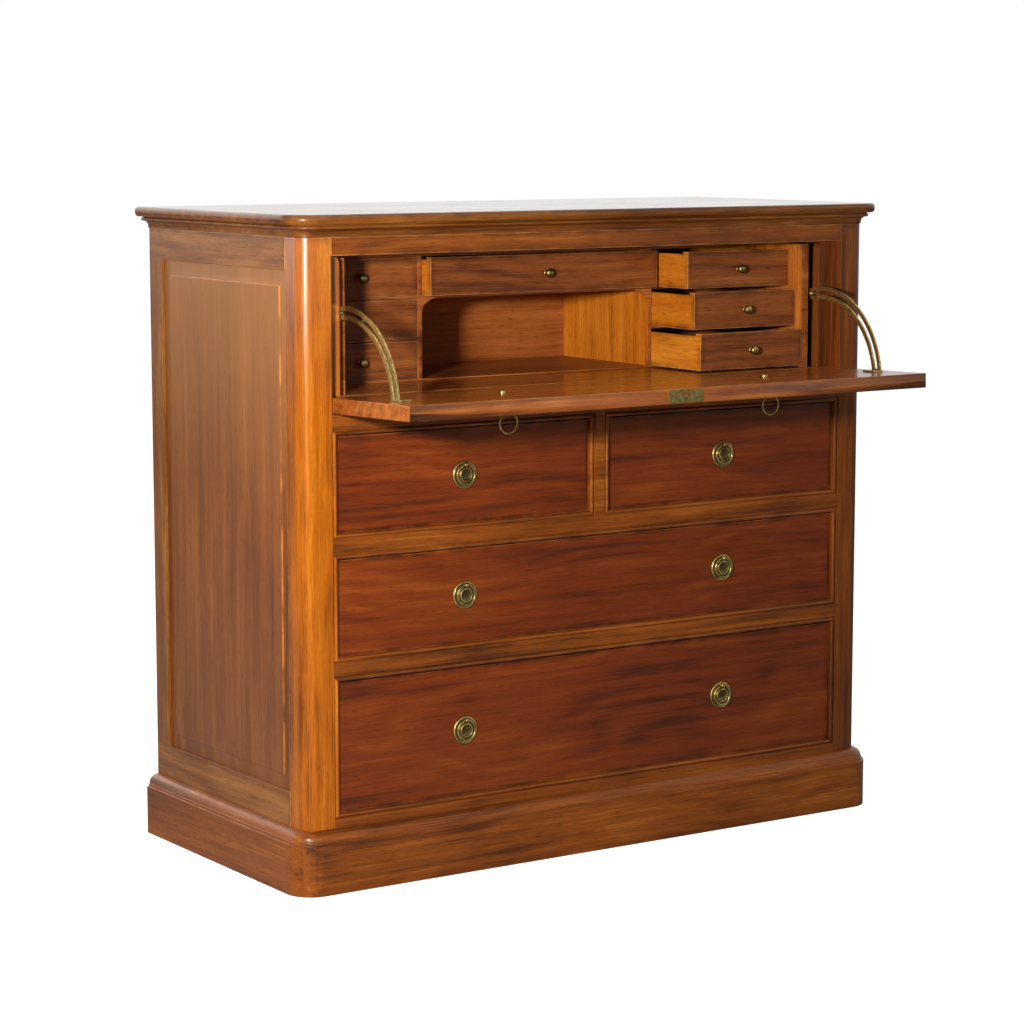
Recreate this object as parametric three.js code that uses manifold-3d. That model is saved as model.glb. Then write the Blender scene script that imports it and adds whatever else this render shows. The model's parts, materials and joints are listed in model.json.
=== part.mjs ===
// Secretaire chest: a chest of drawers whose upper front falls open as a writing surface.
// Millimetres. +X runs right along the front, +Y runs back into the depth, +Z is up.
// The origin is on the floor, in the middle of the carcass front.

import * as THREE from 'three';
import { mergeVertices } from 'three/addons/utils/BufferGeometryUtils.js';
import Module from 'manifold-3d';

const wasm = await Module();
wasm.setup();

// Overall
const height = 1050;
const carcassWidth = 1110;
const carcassDepth = 501;
const topThickness = 34.5;
const jointGap = 0.3; // between two pieces that seat on each other
const overrun = 5; // how far a cutting shape runs past what it cuts
const lap = 2; // how far joined shapes of one piece run into each other

// Corner posts
const postFace = 52.8;
const postSide = 48.5;
const postRadius = 23;

// Front frame, from the plinth up
const bottomRailShow = 12.5;
const row3Share = 0.27937; // of the height that the rails leave over the plinth
const lowerRailWidth = 20;
const row2Share = 0.21137;
const upperRailWidth = 22;
const row1Share = 0.21014;
const fallRailWidth = 23.5;
const topRailWidth = 28.5;
const muntinWidth = 19.5;
const railDepth = 25;
const fallRailDepth = 60;

// Quirk and bead round each drawer opening
const quirkWidth = 2.2;
const beadWidth = 6.3;
const beadDepth = 20;

// Plinth
const plinthHeight = 100;
const plinthReach = 21.7;
const plinthFilletHeight = 4;
const plinthFilletWidth = 3.5;
const plinthOvolo = 16;
const plinthOvoloStep = 1;
const plinthSeat = 60; // height of the ledge that the carcass stands on
const plinthWall = 20;

// Top board moulding: a bullnose, a small bead below it, a cove and a fillet
const topNoseReach = 26;
const topNoseHeight = 15.5;
const topNoseShoulder = 6; // how far the flat top stops short of the nose
const topQuirkReach = 12;
const topQuirkHeight = 1.4;
const topBeadHeight = 5.6;
const topBeadReach = 15.2;
const topCoveHeight = 8;
const topFilletReach = 2.2;

// Side frames and their raised panels
const sideThickness = 22;
const rearStileWidth = 40;
const sideTopRailWidth = 50.5;
const sideBottomRailTop = 153.5;
const panelRecess = 7;
const panelTongue = 7;
const panelEdgeThickness = 6;
const panelBevelWidth = 25;
const panelBevelRise = 1.8;
const panelFieldRise = 2.2;

// Back
const backThickness = 10;
const backInset = 3.7;
const backBoards = 9;
const backGroove = 2.5;

// Fall front, closed upright between the posts
const fallThickness = 24;
const fallFoot = 8.95; // pivot to the fall's lower edge
const fallTongueSet = 13; // the tongue on the lower edge is set back this far from the outer face
const fallLipClearance = 0.4;
const pivotInset = 8.35; // pivot behind the fall's outer face
const fallFootClearance = 1;
const fallHeadClearance = 1.05;
const fallSideClearance = 0.9;
const fallOpenAngle = 88.4;
const pinRadius = 3;
const pinLength = 8;
const pinClearance = 0.4;
const hollowClearance = 0.5; // between the fall's inner corner and the hollow in the deck

// Lock plate on the fall's upper edge
const lockPlateLength = 68;
const lockPlateWidth = 20;
const lockPlateThickness = 2;
const lockPlateOffset = 5.5;
const lockSlotLength = 14;
const lockSlotWidth = 4;
const lockSlotRise = 4;

// Writing deck and the strips that the closed fall rests on
const deckThickness = 20;
const stopStripWidth = 29;
const stopStripThickness = 16;
const stopStripGap = 0.4;
const stopStripRound = 14;

// Slotted quadrant stays and their studs
const stayRadius = 144;
const stayWidth = 22;
const staySlotWidth = 6.6;
const stayThickness = 3;
const stayInset = 1; // stay to the inner edge of the stop strip
const stayFootThickness = 2.5;
const stayFootReach = 21;
const stayFootLength = 28;
const studRadius = 3;
const studHeadRadius = 4.6;
const studSocket = 10;
const studHeadGap = 0.6;
const deckSlotClearance = 1;

// Ring pulls
const rosetteEdge = 1.2;
const rosetteRim = 3;
const rosetteRimWidth = 3;
const rosetteGroove = 2;
const rosetteCollarRadius = 11.8;
const rosetteCollarHeight = 6.4;
const rosetteCollarWidth = 2.6;
const rosetteDish = 2.4;
const rosetteBorder = 4.75; // ring to the rosette's edge
const ringRadius = 16.2;
const ringWire = 1.55;
const eyeHeight = 5;
const eyeRadius = 3.4;
const eyeWidth = 5;
const eyeBore = 2.3;
const boltRadius = 2.6;
const boltClearance = 0.4;
const nutRadius = 5.6;
const nutHeight = 3.6;
const handleSpread = 515; // between the two columns of pulls
const fallHandleRise = 109.4; // pivot to the pulls' centres on the closed fall
const ringClearance = 0.5; // hanging ring over the drawers that pass below it

// Main drawers
const drawerRecess = 8;
const drawerSideClearance = 1;
const drawerHeadClearance = 2.6;
const drawerFrontThickness = 22;
const drawerWall = 12;
const drawerBottom = 6;
const drawerBottomRise = 6;
const drawerRearClearance = 8;
const drawerHeadDrop = 5; // the box sides stop this much below the front
const dustBoard = 14;
const guideHeight = 20;
const tailPitch = 38;
const tailLength = 13;
const tailRoot = 15;
const tailTip = 20;

// Interior case: two banks of small drawers beside a pigeonhole with a wide drawer over it
const caseFront = 180;
const caseSideGap = 5.4; // to the stop strips, where the stays swing
const caseRearGap = 13.3;
const caseHeadGap = 6.3;
const caseWall = 8;
const caseSide = 15.2; // each side, with the lining that it carries forward
const liningFront = 44;
const caseFloor = 2.6;
const casePartition = 6.8;
const caseShelf = 4.2;
const centreWidth = 455.6;
const caseBack = 6;
const pigeonholeRear = 42;
const bracketWidth = 34;
const bracketHeight = 24;
const bracketThickness = 8;

// Interior drawers
const innerFrontThickness = 14;
const innerWall = 8;
const innerBottom = 4;
const innerBottomRise = 3;
const innerHeadDrop = 4;
const innerSideClearance = 1;
const innerFootClearance = 0.4;
const innerHeadClearance = 1.2;
const innerRearGap = 8;
const centrePull = 26;
const rightTopPull = 101;
const rightMiddlePull = 120;
const rightBottomPull = 138;

// Turned knobs of the interior drawers
const knobLength = 14.5;
const knobRadius = 6.4;
const knobNeckRadius = 3;
const knobBaseRadius = 5.4;
const knobBaseHeight = 1.6;
const knobSpigotRadius = 2;
const knobSpigotLength = 8;

// Derived levels and places
const halfWidth = carcassWidth / 2;
const halfOpening = halfWidth - postFace;
const beadRadius = beadWidth / 2;
const band = quirkWidth + beadWidth;
const carcassTop = height - topThickness;
const row3Foot = plinthHeight + bottomRailShow;
const topRailFoot = carcassTop - topRailWidth;
const rowsHeight = topRailFoot - row3Foot - lowerRailWidth - upperRailWidth - fallRailWidth;
const row3Head = row3Foot + rowsHeight * row3Share;
const row2Foot = row3Head + lowerRailWidth;
const row2Head = row2Foot + rowsHeight * row2Share;
const row1Foot = row2Head + upperRailWidth;
const row1Head = row1Foot + rowsHeight * row1Share;
const fallRailTop = row1Head + fallRailWidth;
const pivotZ = fallRailTop + fallFootClearance + fallFoot;
const pivotY = pivotInset;
const fallInner = fallThickness - pivotInset; // pivot to the fall's inner face
const deckTop = pivotZ + fallInner;
const fallRise = topRailFoot - fallHeadClearance - pivotZ; // pivot to the fall's upper edge
const fallTongue = fallInner; // pivot to the tongue's lower edge
const fallSweep = Math.hypot(fallInner, fallTongue);
const backFace = carcassDepth - backInset - backThickness;
const innerHalf = halfWidth - sideThickness;
const rearStile = carcassDepth - rearStileWidth;
const sideTopRailFoot = carcassTop - sideTopRailWidth;
const carcassFoot = plinthSeat + jointGap;
const stripInner = halfOpening - stopStripWidth;
const stripFront = fallThickness + stopStripGap;
const caseWidth = 2 * (stripInner - caseSideGap);
const caseDepth = backFace - caseRearGap - caseFront;
const caseFoot = deckTop + jointGap;
const cellHeight = (topRailFoot - caseHeadGap - caseWall - caseFoot - caseFloor - 2 * caseShelf) / 3;
const innerLength = caseDepth - caseBack - innerRearGap;
const stayOuterX = stripInner - stayInset;
const stayInnerX = stayOuterX - stayThickness;
const studY = stripFront + stopStripThickness / 2;
const studAngle = Math.acos((studY - pivotY) / stayRadius);
const studZ = pivotZ + stayRadius * Math.sin(studAngle);
const handleX = handleSpread / 2;
const rosetteRadius = ringRadius + ringWire + rosetteBorder;
const openAngle = THREE.MathUtils.degToRad(fallOpenAngle);

// Materials
const wood = (color, roughness) => new THREE.MeshStandardMaterial({ color, roughness, metalness: 0 });
const metal = (color, roughness) => new THREE.MeshStandardMaterial({ color, roughness, metalness: 1 });
const frameWood = () => wood(0x8a441c, 0.38);
const frontWood = () => wood(0x703317, 0.4);
const panelWood = () => wood(0x7c3d1b, 0.42);
const innerWood = () => wood(0x9a5622, 0.5);
const agedBrass = () => metal(0x9b854a, 0.42);

// Closes a geometry: shared vertices are merged, flat triangles dropped, and faces turned outward
function closed(geometry) {
  const bare = geometry.clone();
  bare.deleteAttribute('normal');
  bare.deleteAttribute('uv');
  const merged = mergeVertices(bare);
  const place = merged.getAttribute('position');
  const index = merged.getIndex().array;
  const kept = [];
  let volume = 0;
  const a = new THREE.Vector3();
  const b = new THREE.Vector3();
  const c = new THREE.Vector3();
  for (let i = 0; i < index.length; i += 3) {
    const [p, q, r] = [index[i], index[i + 1], index[i + 2]];
    if (p === q || q === r || r === p) continue;
    kept.push(p, q, r);
    a.fromBufferAttribute(place, p);
    b.fromBufferAttribute(place, q);
    c.fromBufferAttribute(place, r);
    volume += a.dot(b.cross(c));
  }
  if (volume < 0) kept.reverse();
  merged.setIndex(kept);
  return merged;
}

function toSolid(geometry) {
  const shell = closed(geometry);
  const mesh = new wasm.Mesh({
    numProp: 3,
    vertProperties: Float32Array.from(shell.getAttribute('position').array),
    triVerts: Uint32Array.from(shell.getIndex().array),
  });
  return new wasm.Manifold(mesh);
}

function toGeometry(solid) {
  const mesh = solid.getMesh();
  const geometry = new THREE.BufferGeometry();
  geometry.setAttribute('position', new THREE.BufferAttribute(Float32Array.from(mesh.vertProperties), 3));
  geometry.setIndex(Array.from(mesh.triVerts));
  return geometry;
}

const join = (...geometries) => geometries.flat().map(toSolid).reduce((whole, next) => whole.add(next));
const carve = (solid, ...tools) => tools.flat().map(toSolid).reduce((whole, tool) => whole.subtract(tool), solid);

// Box between two corners
function block([x0, y0, z0], [x1, y1, z1]) {
  const box = new THREE.BoxGeometry(x1 - x0, y1 - y0, z1 - z0);
  return box.translate((x0 + x1) / 2, (y0 + y1) / 2, (z0 + z1) / 2);
}

// Outlines are drawn in the plane across the axis and extruded along it
function alongX(shape, from, to, segments = 12) {
  const form = new THREE.ExtrudeGeometry(shape, { depth: to - from, bevelEnabled: false, curveSegments: segments });
  form.applyMatrix4(new THREE.Matrix4().makeBasis(
    new THREE.Vector3(0, 1, 0), new THREE.Vector3(0, 0, 1), new THREE.Vector3(1, 0, 0)));
  return form.translate(from, 0, 0);
}

function alongY(shape, from, to, segments = 12) {
  const form = new THREE.ExtrudeGeometry(shape, { depth: to - from, bevelEnabled: false, curveSegments: segments });
  form.applyMatrix4(new THREE.Matrix4().makeBasis(
    new THREE.Vector3(1, 0, 0), new THREE.Vector3(0, 0, 1), new THREE.Vector3(0, 1, 0)));
  return form.translate(0, from, 0);
}

function alongZ(shape, from, to, segments = 12) {
  const form = new THREE.ExtrudeGeometry(shape, { depth: to - from, bevelEnabled: false, curveSegments: segments });
  return form.translate(0, 0, from);
}

const outline = (points) => new THREE.Shape(points.map(([u, v]) => new THREE.Vector2(u, v)));

// Revolved form on the Y axis, its profile in radius and place along Y
function turned(profile, segments) {
  return new THREE.LatheGeometry(profile.map(([r, y]) => new THREE.Vector2(r, y)), segments);
}

function rod(radius, from, to, segments) {
  return turned([[0, from], [radius, from], [radius, to], [0, to]], segments);
}

const turnedToX = (geometry) => geometry.rotateZ(-Math.PI / 2);
const mirrored = (geometry) => geometry.clone().scale(-1, 1, 1);

function piece(name, geometry, material) {
  const form = closed(geometry).toNonIndexed();
  form.computeVertexNormals();
  const mesh = new THREE.Mesh(form, material);
  mesh.name = name;
  return mesh;
}

// Both sides of a piece that is drawn on the left
function pair(name, geometry, material) {
  return [piece(`left_${name}`, geometry, material()), piece(`right_${name}`, mirrored(geometry), material())];
}

// Plan of the carcass, set out at the front and the sides, with round front corners
function planRing(reach, z) {
  const radius = postRadius + reach;
  const steps = 6;
  const ring = [new THREE.Vector3(halfWidth + reach, carcassDepth, z)];
  for (const side of [1, -1]) {
    for (let i = 0; i <= steps; i++) {
      const turn = (i / steps) * Math.PI / 2;
      const angle = side > 0 ? -turn : turn - Math.PI / 2;
      const x = side * (halfWidth - postRadius) + side * radius * Math.cos(angle);
      ring.push(new THREE.Vector3(x, postRadius + radius * Math.sin(angle), z));
    }
  }
  ring.push(new THREE.Vector3(-halfWidth - reach, carcassDepth, z));
  return ring;
}

// Skin over a row of rings with equal counts, closed by a fan at each end
function loft(rings) {
  const count = rings[0].length;
  const index = [];
  rings.slice(1).forEach((ring, level) => {
    for (let i = 0; i < count; i++) {
      const [a, b] = [level * count + i, level * count + (i + 1) % count];
      index.push(a, b, b + count, a, b + count, a + count);
    }
  });
  const last = (rings.length - 1) * count;
  for (let i = 1; i < count - 1; i++) {
    index.push(0, i + 1, i);
    index.push(last, last + i, last + i + 1);
  }
  const geometry = new THREE.BufferGeometry().setFromPoints(rings.flat());
  geometry.setIndex(index);
  return geometry;
}

// Top board
function topBoard() {
  const seat = carcassTop;
  const coveFoot = height - topNoseHeight - topQuirkHeight - topBeadHeight - topCoveHeight;
  const beadFoot = coveFoot + topCoveHeight;
  const beadHead = beadFoot + topBeadHeight;
  const noseFoot = beadHead + topQuirkHeight;
  const profile = [[0, seat], [topFilletReach, seat], [topFilletReach, coveFoot]];
  const coveReach = topQuirkReach - topFilletReach;
  for (let i = 1; i <= 4; i++) {
    const turn = (i / 4) * Math.PI / 2;
    profile.push([topFilletReach + coveReach * (1 - Math.cos(turn)), coveFoot + topCoveHeight * Math.sin(turn)]);
  }
  for (let i = 1; i <= 5; i++) {
    const turn = (i / 5) * Math.PI;
    const swell = (topBeadReach - topQuirkReach) * Math.sin(turn);
    profile.push([topQuirkReach + swell, beadFoot + topBeadHeight * (1 - Math.cos(turn)) / 2]);
  }
  profile.push([topQuirkReach, noseFoot]);
  const noseRise = topNoseHeight / 2;
  const shoulder = topNoseReach - topNoseShoulder;
  for (let i = 0; i <= 8; i++) {
    const turn = (i / 8) * Math.PI - Math.PI / 2;
    profile.push([shoulder + topNoseShoulder * Math.cos(turn), noseFoot + noseRise + noseRise * Math.sin(turn)]);
  }
  return loft(profile.slice(1).map(([reach, z]) => planRing(reach, z)));
}

// Plinth: moulded skirting with a ledge inside that the carcass stands on
function plinth() {
  const face = plinthHeight - plinthOvolo - plinthFilletHeight;
  const ovoloFoot = face + plinthFilletHeight;
  const filletReach = plinthReach - plinthFilletWidth;
  const ovoloReach = filletReach - plinthOvoloStep;
  const profile = [[plinthReach, 0], [plinthReach, face], [filletReach, face], [filletReach, ovoloFoot]];
  for (let i = 0; i <= 5; i++) {
    const turn = (i / 5) * Math.PI / 2;
    const back = plinthOvolo * (1 - Math.cos(turn));
    profile.push([ovoloReach - back, ovoloFoot + plinthOvolo * Math.sin(turn)]);
  }
  const body = toSolid(loft(profile.map(([reach, z]) => planRing(reach, z))));
  const pocket = planRing(jointGap, plinthSeat).map((point) => {
    return point.y === carcassDepth ? point.setY(carcassDepth + overrun) : point;
  });
  const pocketTop = pocket.map((point) => point.clone().setZ(plinthHeight + overrun));
  const well = halfWidth - plinthWall;
  const base = carve(body, loft([pocket, pocketTop]),
    block([-well, plinthWall, -overrun], [well, carcassDepth - plinthWall, plinthSeat + overrun]));
  return toGeometry(base.add(bottomRail()));
}

// The bottom rail stands on the plinth's seat and is one piece with it
function bottomRail() {
  const level = row3Foot + band;
  return join(rail(plinthSeat - lap, row3Foot), drawerBoard(level), guides(level),
    stripAlongX(-halfOpening, halfOpening, row3Foot, 1));
}

// One side of an opening's quirk and bead, with mitred ends. It runs along u from `from` to `to`,
// and `inward` grows from the flat's edge into the opening.
function beadStrip(from, to) {
  const section = [[-lap, beadRadius], [0, beadRadius], [quirkWidth, beadRadius]];
  for (let i = 1; i <= 6; i++) {
    const turn = (i / 6) * Math.PI;
    section.push([quirkWidth + beadRadius * (1 - Math.cos(turn)), beadRadius * (1 - Math.sin(turn))]);
  }
  section.push([band, beadDepth], [0, beadDepth], [-lap, beadDepth]);
  const form = new THREE.ExtrudeGeometry(outline(section), { depth: to - from, bevelEnabled: false });
  const place = form.getAttribute('position');
  const middle = (to - from) / 2;
  for (let i = 0; i < place.count; i++) {
    const inward = Math.max(place.getX(i), 0) + jointGap;
    const along = place.getZ(i);
    place.setZ(i, along + from + (along < middle ? inward : -inward));
  }
  return form;
}

// The strip's section is x = inward, y = depth, z = along; each side of an opening turns it into place
function stripAlongX(from, to, edge, up) {
  return beadStrip(from, to).applyMatrix4(new THREE.Matrix4().makeBasis(
    new THREE.Vector3(0, 0, up), new THREE.Vector3(0, 1, 0), new THREE.Vector3(1, 0, 0))).translate(0, 0, edge);
}

function stripAlongZ(from, to, edge, right) {
  return beadStrip(from, to).applyMatrix4(new THREE.Matrix4().makeBasis(
    new THREE.Vector3(right, 0, 0), new THREE.Vector3(0, 1, 0), new THREE.Vector3(0, 0, 1))).translate(edge, 0, 0);
}

// Post with its front bead runs, the groove for the side panel, and the strip behind the fall
function leftPost() {
  const plan = new THREE.Shape();
  plan.moveTo(-halfWidth + postRadius, 0);
  plan.lineTo(-halfOpening, 0);
  plan.lineTo(-halfOpening, postSide);
  plan.lineTo(-halfWidth, postSide);
  plan.lineTo(-halfWidth, postRadius);
  plan.absarc(-halfWidth + postRadius, postRadius, postRadius, Math.PI, 1.5 * Math.PI, false);
  const shaft = alongZ(plan, carcassFoot, carcassTop - jointGap, 8);
  const strip = new THREE.Shape();
  const head = topRailFoot - jointGap;
  strip.moveTo(-halfOpening - lap, deckTop + jointGap);
  strip.lineTo(-stripInner, deckTop + jointGap);
  strip.lineTo(-stripInner, head - stopStripRound);
  strip.absarc(-stripInner - stopStripRound, head - stopStripRound, stopStripRound, 0, Math.PI / 2, false);
  strip.lineTo(-halfOpening - lap, head);
  const runs = [[row1Foot, row1Head], [row2Foot, row2Head], [row3Foot, row3Head]]
    .map(([foot, top]) => stripAlongZ(foot, top, -halfOpening, 1));
  const body = join(shaft, alongY(strip, stripFront, stripFront + stopStripThickness, 4), runs);
  const pinHole = turnedToX(rod(pinRadius + pinClearance, -halfOpening - pinLength - jointGap,
    -stripInner, 16)).translate(0, pivotY, pivotZ);
  const socketSeat = -stripInner - studSocket - jointGap;
  const studHole = turnedToX(rod(studRadius + jointGap, socketSeat, -stripInner + overrun, 16))
    .translate(0, studY, studZ);
  return toGeometry(carve(body, panelGroove(), pinHole, studHole));
}

// Space that the panel's tongue takes in the post and the side frame
function panelGroove() {
  const outer = -halfWidth + panelRecess;
  return block([outer - jointGap, postSide - panelTongue - jointGap, sideBottomRailTop - panelTongue - jointGap],
    [outer + panelEdgeThickness + jointGap, rearStile + panelTongue + jointGap,
      sideTopRailFoot + panelTongue + jointGap]);
}

// Side frame: rear stile with top and bottom rails
function leftSideFrame() {
  const front = postSide + jointGap;
  const frame = outline([[front, carcassFoot], [carcassDepth, carcassFoot], [carcassDepth, carcassTop - jointGap],
    [front, carcassTop - jointGap], [front, sideTopRailFoot], [rearStile, sideTopRailFoot],
    [rearStile, sideBottomRailTop], [front, sideBottomRailTop]]);
  return toGeometry(carve(toSolid(alongX(frame, -halfWidth, -innerHalf)), panelGroove()));
}

// Block whose outer face is drawn in by a bevel all round
function bevelled(width, length, rise, bevel) {
  const form = new THREE.BoxGeometry(rise, width, length);
  const place = form.getAttribute('position');
  for (let i = 0; i < place.count; i++) {
    if (place.getX(i) > 0) continue;
    place.setY(i, place.getY(i) * (1 - 2 * bevel / width));
    place.setZ(i, place.getZ(i) * (1 - 2 * bevel / length));
  }
  return form;
}

// Raised and fielded panel, held in grooves by its tongue
function leftSidePanel() {
  const outer = -halfWidth + panelRecess;
  const middleY = (postSide + rearStile) / 2;
  const middleZ = (sideBottomRailTop + sideTopRailFoot) / 2;
  const width = rearStile - postSide - 2 * jointGap;
  const length = sideTopRailFoot - sideBottomRailTop - 2 * jointGap;
  const plate = block([outer, postSide - panelTongue, sideBottomRailTop - panelTongue],
    [outer + panelEdgeThickness, rearStile + panelTongue, sideTopRailFoot + panelTongue]);
  const bevelBody = bevelled(width, length, panelBevelRise + lap, panelBevelWidth)
    .translate(outer + (lap - panelBevelRise) / 2, middleY, middleZ);
  const fieldWidth = width - 2 * panelBevelWidth;
  const fieldLength = length - 2 * panelBevelWidth;
  const fieldOuter = outer - panelBevelRise - panelFieldRise;
  const field = block([fieldOuter, middleY - fieldWidth / 2, middleZ - fieldLength / 2],
    [outer + lap, middleY + fieldWidth / 2, middleZ + fieldLength / 2]);
  return toGeometry(join(plate, bevelBody, field));
}

// Back of upright boards with grooved joints
function backPanel() {
  const edge = innerHalf - jointGap;
  const outer = backFace + backThickness;
  const points = [[-edge, backFace], [edge, backFace], [edge, outer]];
  for (let i = backBoards - 1; i > 0; i--) {
    const x = -edge + (2 * edge * i) / backBoards;
    points.push([x + backGroove, outer], [x, outer - backGroove], [x - backGroove, outer]);
  }
  points.push([-edge, outer]);
  return alongZ(outline(points), carcassFoot, carcassTop - jointGap);
}

// Plain rail between the posts
function rail(foot, head, depth = railDepth) {
  const end = halfOpening - jointGap;
  return block([-end, 0, foot], [end, depth, head]);
}

// Board behind a rail that carries the drawers above it, notched round the posts
function drawerBoard(level) {
  const narrow = halfOpening - jointGap;
  const wide = innerHalf - jointGap;
  const notch = postSide + jointGap;
  const plan = outline([[-narrow, beadDepth + jointGap], [narrow, beadDepth + jointGap], [narrow, notch],
    [wide, notch], [wide, backFace - jointGap], [-wide, backFace - jointGap], [-wide, notch], [-narrow, notch]]);
  return alongZ(plan, level - dustBoard, level);
}

// Guides at both ends of a board
function guides(level) {
  const inner = halfOpening - band;
  const outer = innerHalf - jointGap;
  return [-1, 1].map((side) => {
    const [low, high] = [Math.min(side * inner, side * outer), Math.max(side * inner, side * outer)];
    return block([low, postSide + jointGap, level - lap], [high, backFace - jointGap, level + guideHeight]);
  });
}

const halfMuntin = muntinWidth / 2;

function lowerRail() {
  const level = row2Foot + band;
  return toGeometry(join(rail(row3Head, row2Foot), drawerBoard(level), guides(level),
    stripAlongX(-halfOpening, halfOpening, row2Foot, 1), stripAlongX(-halfOpening, halfOpening, row3Head, -1)));
}

// The muntin between the two upper drawers is framed into this rail, with a guide behind it
function upperRail() {
  const level = row1Foot + band;
  const guide = halfMuntin + band;
  return toGeometry(join(rail(row2Head, row1Foot), drawerBoard(level), guides(level),
    block([-halfMuntin, 0, row1Foot - lap], [halfMuntin, railDepth, row1Head - jointGap]),
    block([-guide, railDepth - lap, level - lap], [guide, backFace - jointGap, level + guideHeight]),
    stripAlongX(-halfOpening, -halfMuntin, row1Foot, 1), stripAlongX(halfMuntin, halfOpening, row1Foot, 1),
    stripAlongX(-halfOpening, halfOpening, row2Head, -1),
    stripAlongZ(row1Foot, row1Head, -halfMuntin, -1), stripAlongZ(row1Foot, row1Head, halfMuntin, 1)));
}

// The room that the fall's inner foot sweeps as it turns
function fallHollow(reach) {
  return turnedToX(rod(fallSweep + hollowClearance, -reach, reach, 48)).translate(0, pivotY, pivotZ);
}

// The rail under the fall keeps a lip in front of the fall's tongue, and steps up behind to carry the deck
function fallRail() {
  const end = halfOpening - jointGap;
  const step = pivotY + fallSweep + fallFootClearance;
  const shelf = deckTop - deckThickness - jointGap;
  const section = outline([[0, row1Head], [fallRailDepth, row1Head], [fallRailDepth, shelf], [step, shelf],
    [step, fallRailTop], [0, fallRailTop]]);
  const behindLip = block([-end - overrun, fallTongueSet - fallLipClearance, row1Head],
    [end + overrun, step, fallRailTop + overrun]);
  const well = toSolid(fallHollow(end + overrun)).intersect(toSolid(behindLip));
  const bar = toSolid(alongX(section, -end, end)).subtract(well);
  const behindPost = postSide + jointGap;
  return toGeometry(bar.add(join(stripAlongX(-halfOpening, -halfMuntin, row1Head, -1),
    stripAlongX(halfMuntin, halfOpening, row1Head, -1),
    block([-innerHalf + jointGap, behindPost, row1Head + lap], [innerHalf - jointGap, fallRailDepth, shelf]))));
}

function topRail() {
  return rail(topRailFoot, carcassTop - jointGap);
}

// Writing deck: its front edge is hollowed round the pivot, and the stays drop through two slots
function writingDeck() {
  const narrow = halfOpening - jointGap;
  const wide = innerHalf - jointGap;
  const notch = postSide + jointGap;
  const foot = deckTop - deckThickness;
  const plan = outline([[-narrow, pivotY], [narrow, pivotY], [narrow, notch], [wide, notch],
    [wide, backFace - jointGap], [-wide, backFace - jointGap], [-wide, notch], [-narrow, notch]]);
  const hollow = fallHollow(wide);
  const inner = stayRadius - stayWidth / 2;
  const outer = stayRadius + stayWidth / 2;
  const nearest = pivotY + Math.sqrt(inner ** 2 - fallInner ** 2) - deckSlotClearance;
  const slots = [-1, 1].map((side) => {
    const middle = side * (stayInnerX + stayThickness / 2);
    const half = stayThickness / 2 + deckSlotClearance;
    return block([middle - half, nearest, foot - overrun],
      [middle + half, pivotY + outer + deckSlotClearance, deckTop + overrun]);
  });
  return toGeometry(carve(toSolid(alongZ(plan, foot, deckTop)), hollow, slots));
}

// Points along an arc about a centre in the plane of the outline
function arc(radius, from, to, steps, [u, v] = [0, 0]) {
  return Array.from({ length: steps + 1 }, (_, i) => {
    const angle = from + ((to - from) * i) / steps;
    return [u + radius * Math.cos(angle), v + radius * Math.sin(angle)];
  });
}

// The fall is drawn upright about its pivot; its outer lower edge is rounded to turn over the rail
function fallBoard() {
  const edge = halfOpening - fallSideClearance;
  const outer = -pivotInset;
  const start = Math.PI + Math.asin(Math.sqrt(fallFoot ** 2 - pivotInset ** 2) / fallFoot);
  const section = outline([[fallInner, fallRise], [outer, fallRise],
    ...arc(fallFoot, start, 1.5 * Math.PI, 6), [fallTongueSet - pivotInset, -fallFoot],
    [fallTongueSet - pivotInset, -fallTongue], [fallInner, -fallTongue]]);
  const pins = [-1, 1].map((side) => {
    const [low, high] = [side * (edge - lap), side * (halfOpening + pinLength)].sort((a, b) => a - b);
    return turnedToX(rod(pinRadius, low, high, 16));
  });
  const middle = (fallInner - pivotInset) / 2;
  const halfLock = lockPlateLength / 2 + jointGap;
  const halfAcross = lockPlateWidth / 2 + jointGap;
  const recess = block([lockPlateOffset - halfLock, middle - halfAcross, fallRise - lockPlateThickness - jointGap],
    [lockPlateOffset + halfLock, middle + halfAcross, fallRise + overrun]);
  const bolts = [-handleX, handleX].map((x) => {
    return rod(boltRadius + boltClearance, outer - overrun, fallInner + overrun, 12).translate(x, 0, fallHandleRise);
  });
  return toGeometry(carve(join(alongX(section, -edge, edge), pins), recess, bolts));
}

function lockPlate() {
  const middle = (fallInner - pivotInset) / 2;
  const halfAcross = lockPlateWidth / 2;
  const plate = block([lockPlateOffset - lockPlateLength / 2, middle - halfAcross, fallRise - lockPlateThickness],
    [lockPlateOffset + lockPlateLength / 2, middle + halfAcross, fallRise]);
  const slotY = middle + lockSlotRise;
  const slot = block([lockPlateOffset - lockSlotLength / 2, slotY - lockSlotWidth / 2, fallRise - overrun],
    [lockPlateOffset + lockSlotLength / 2, slotY + lockSlotWidth / 2, fallRise + overrun]);
  return toGeometry(carve(toSolid(plate), slot));
}

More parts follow.
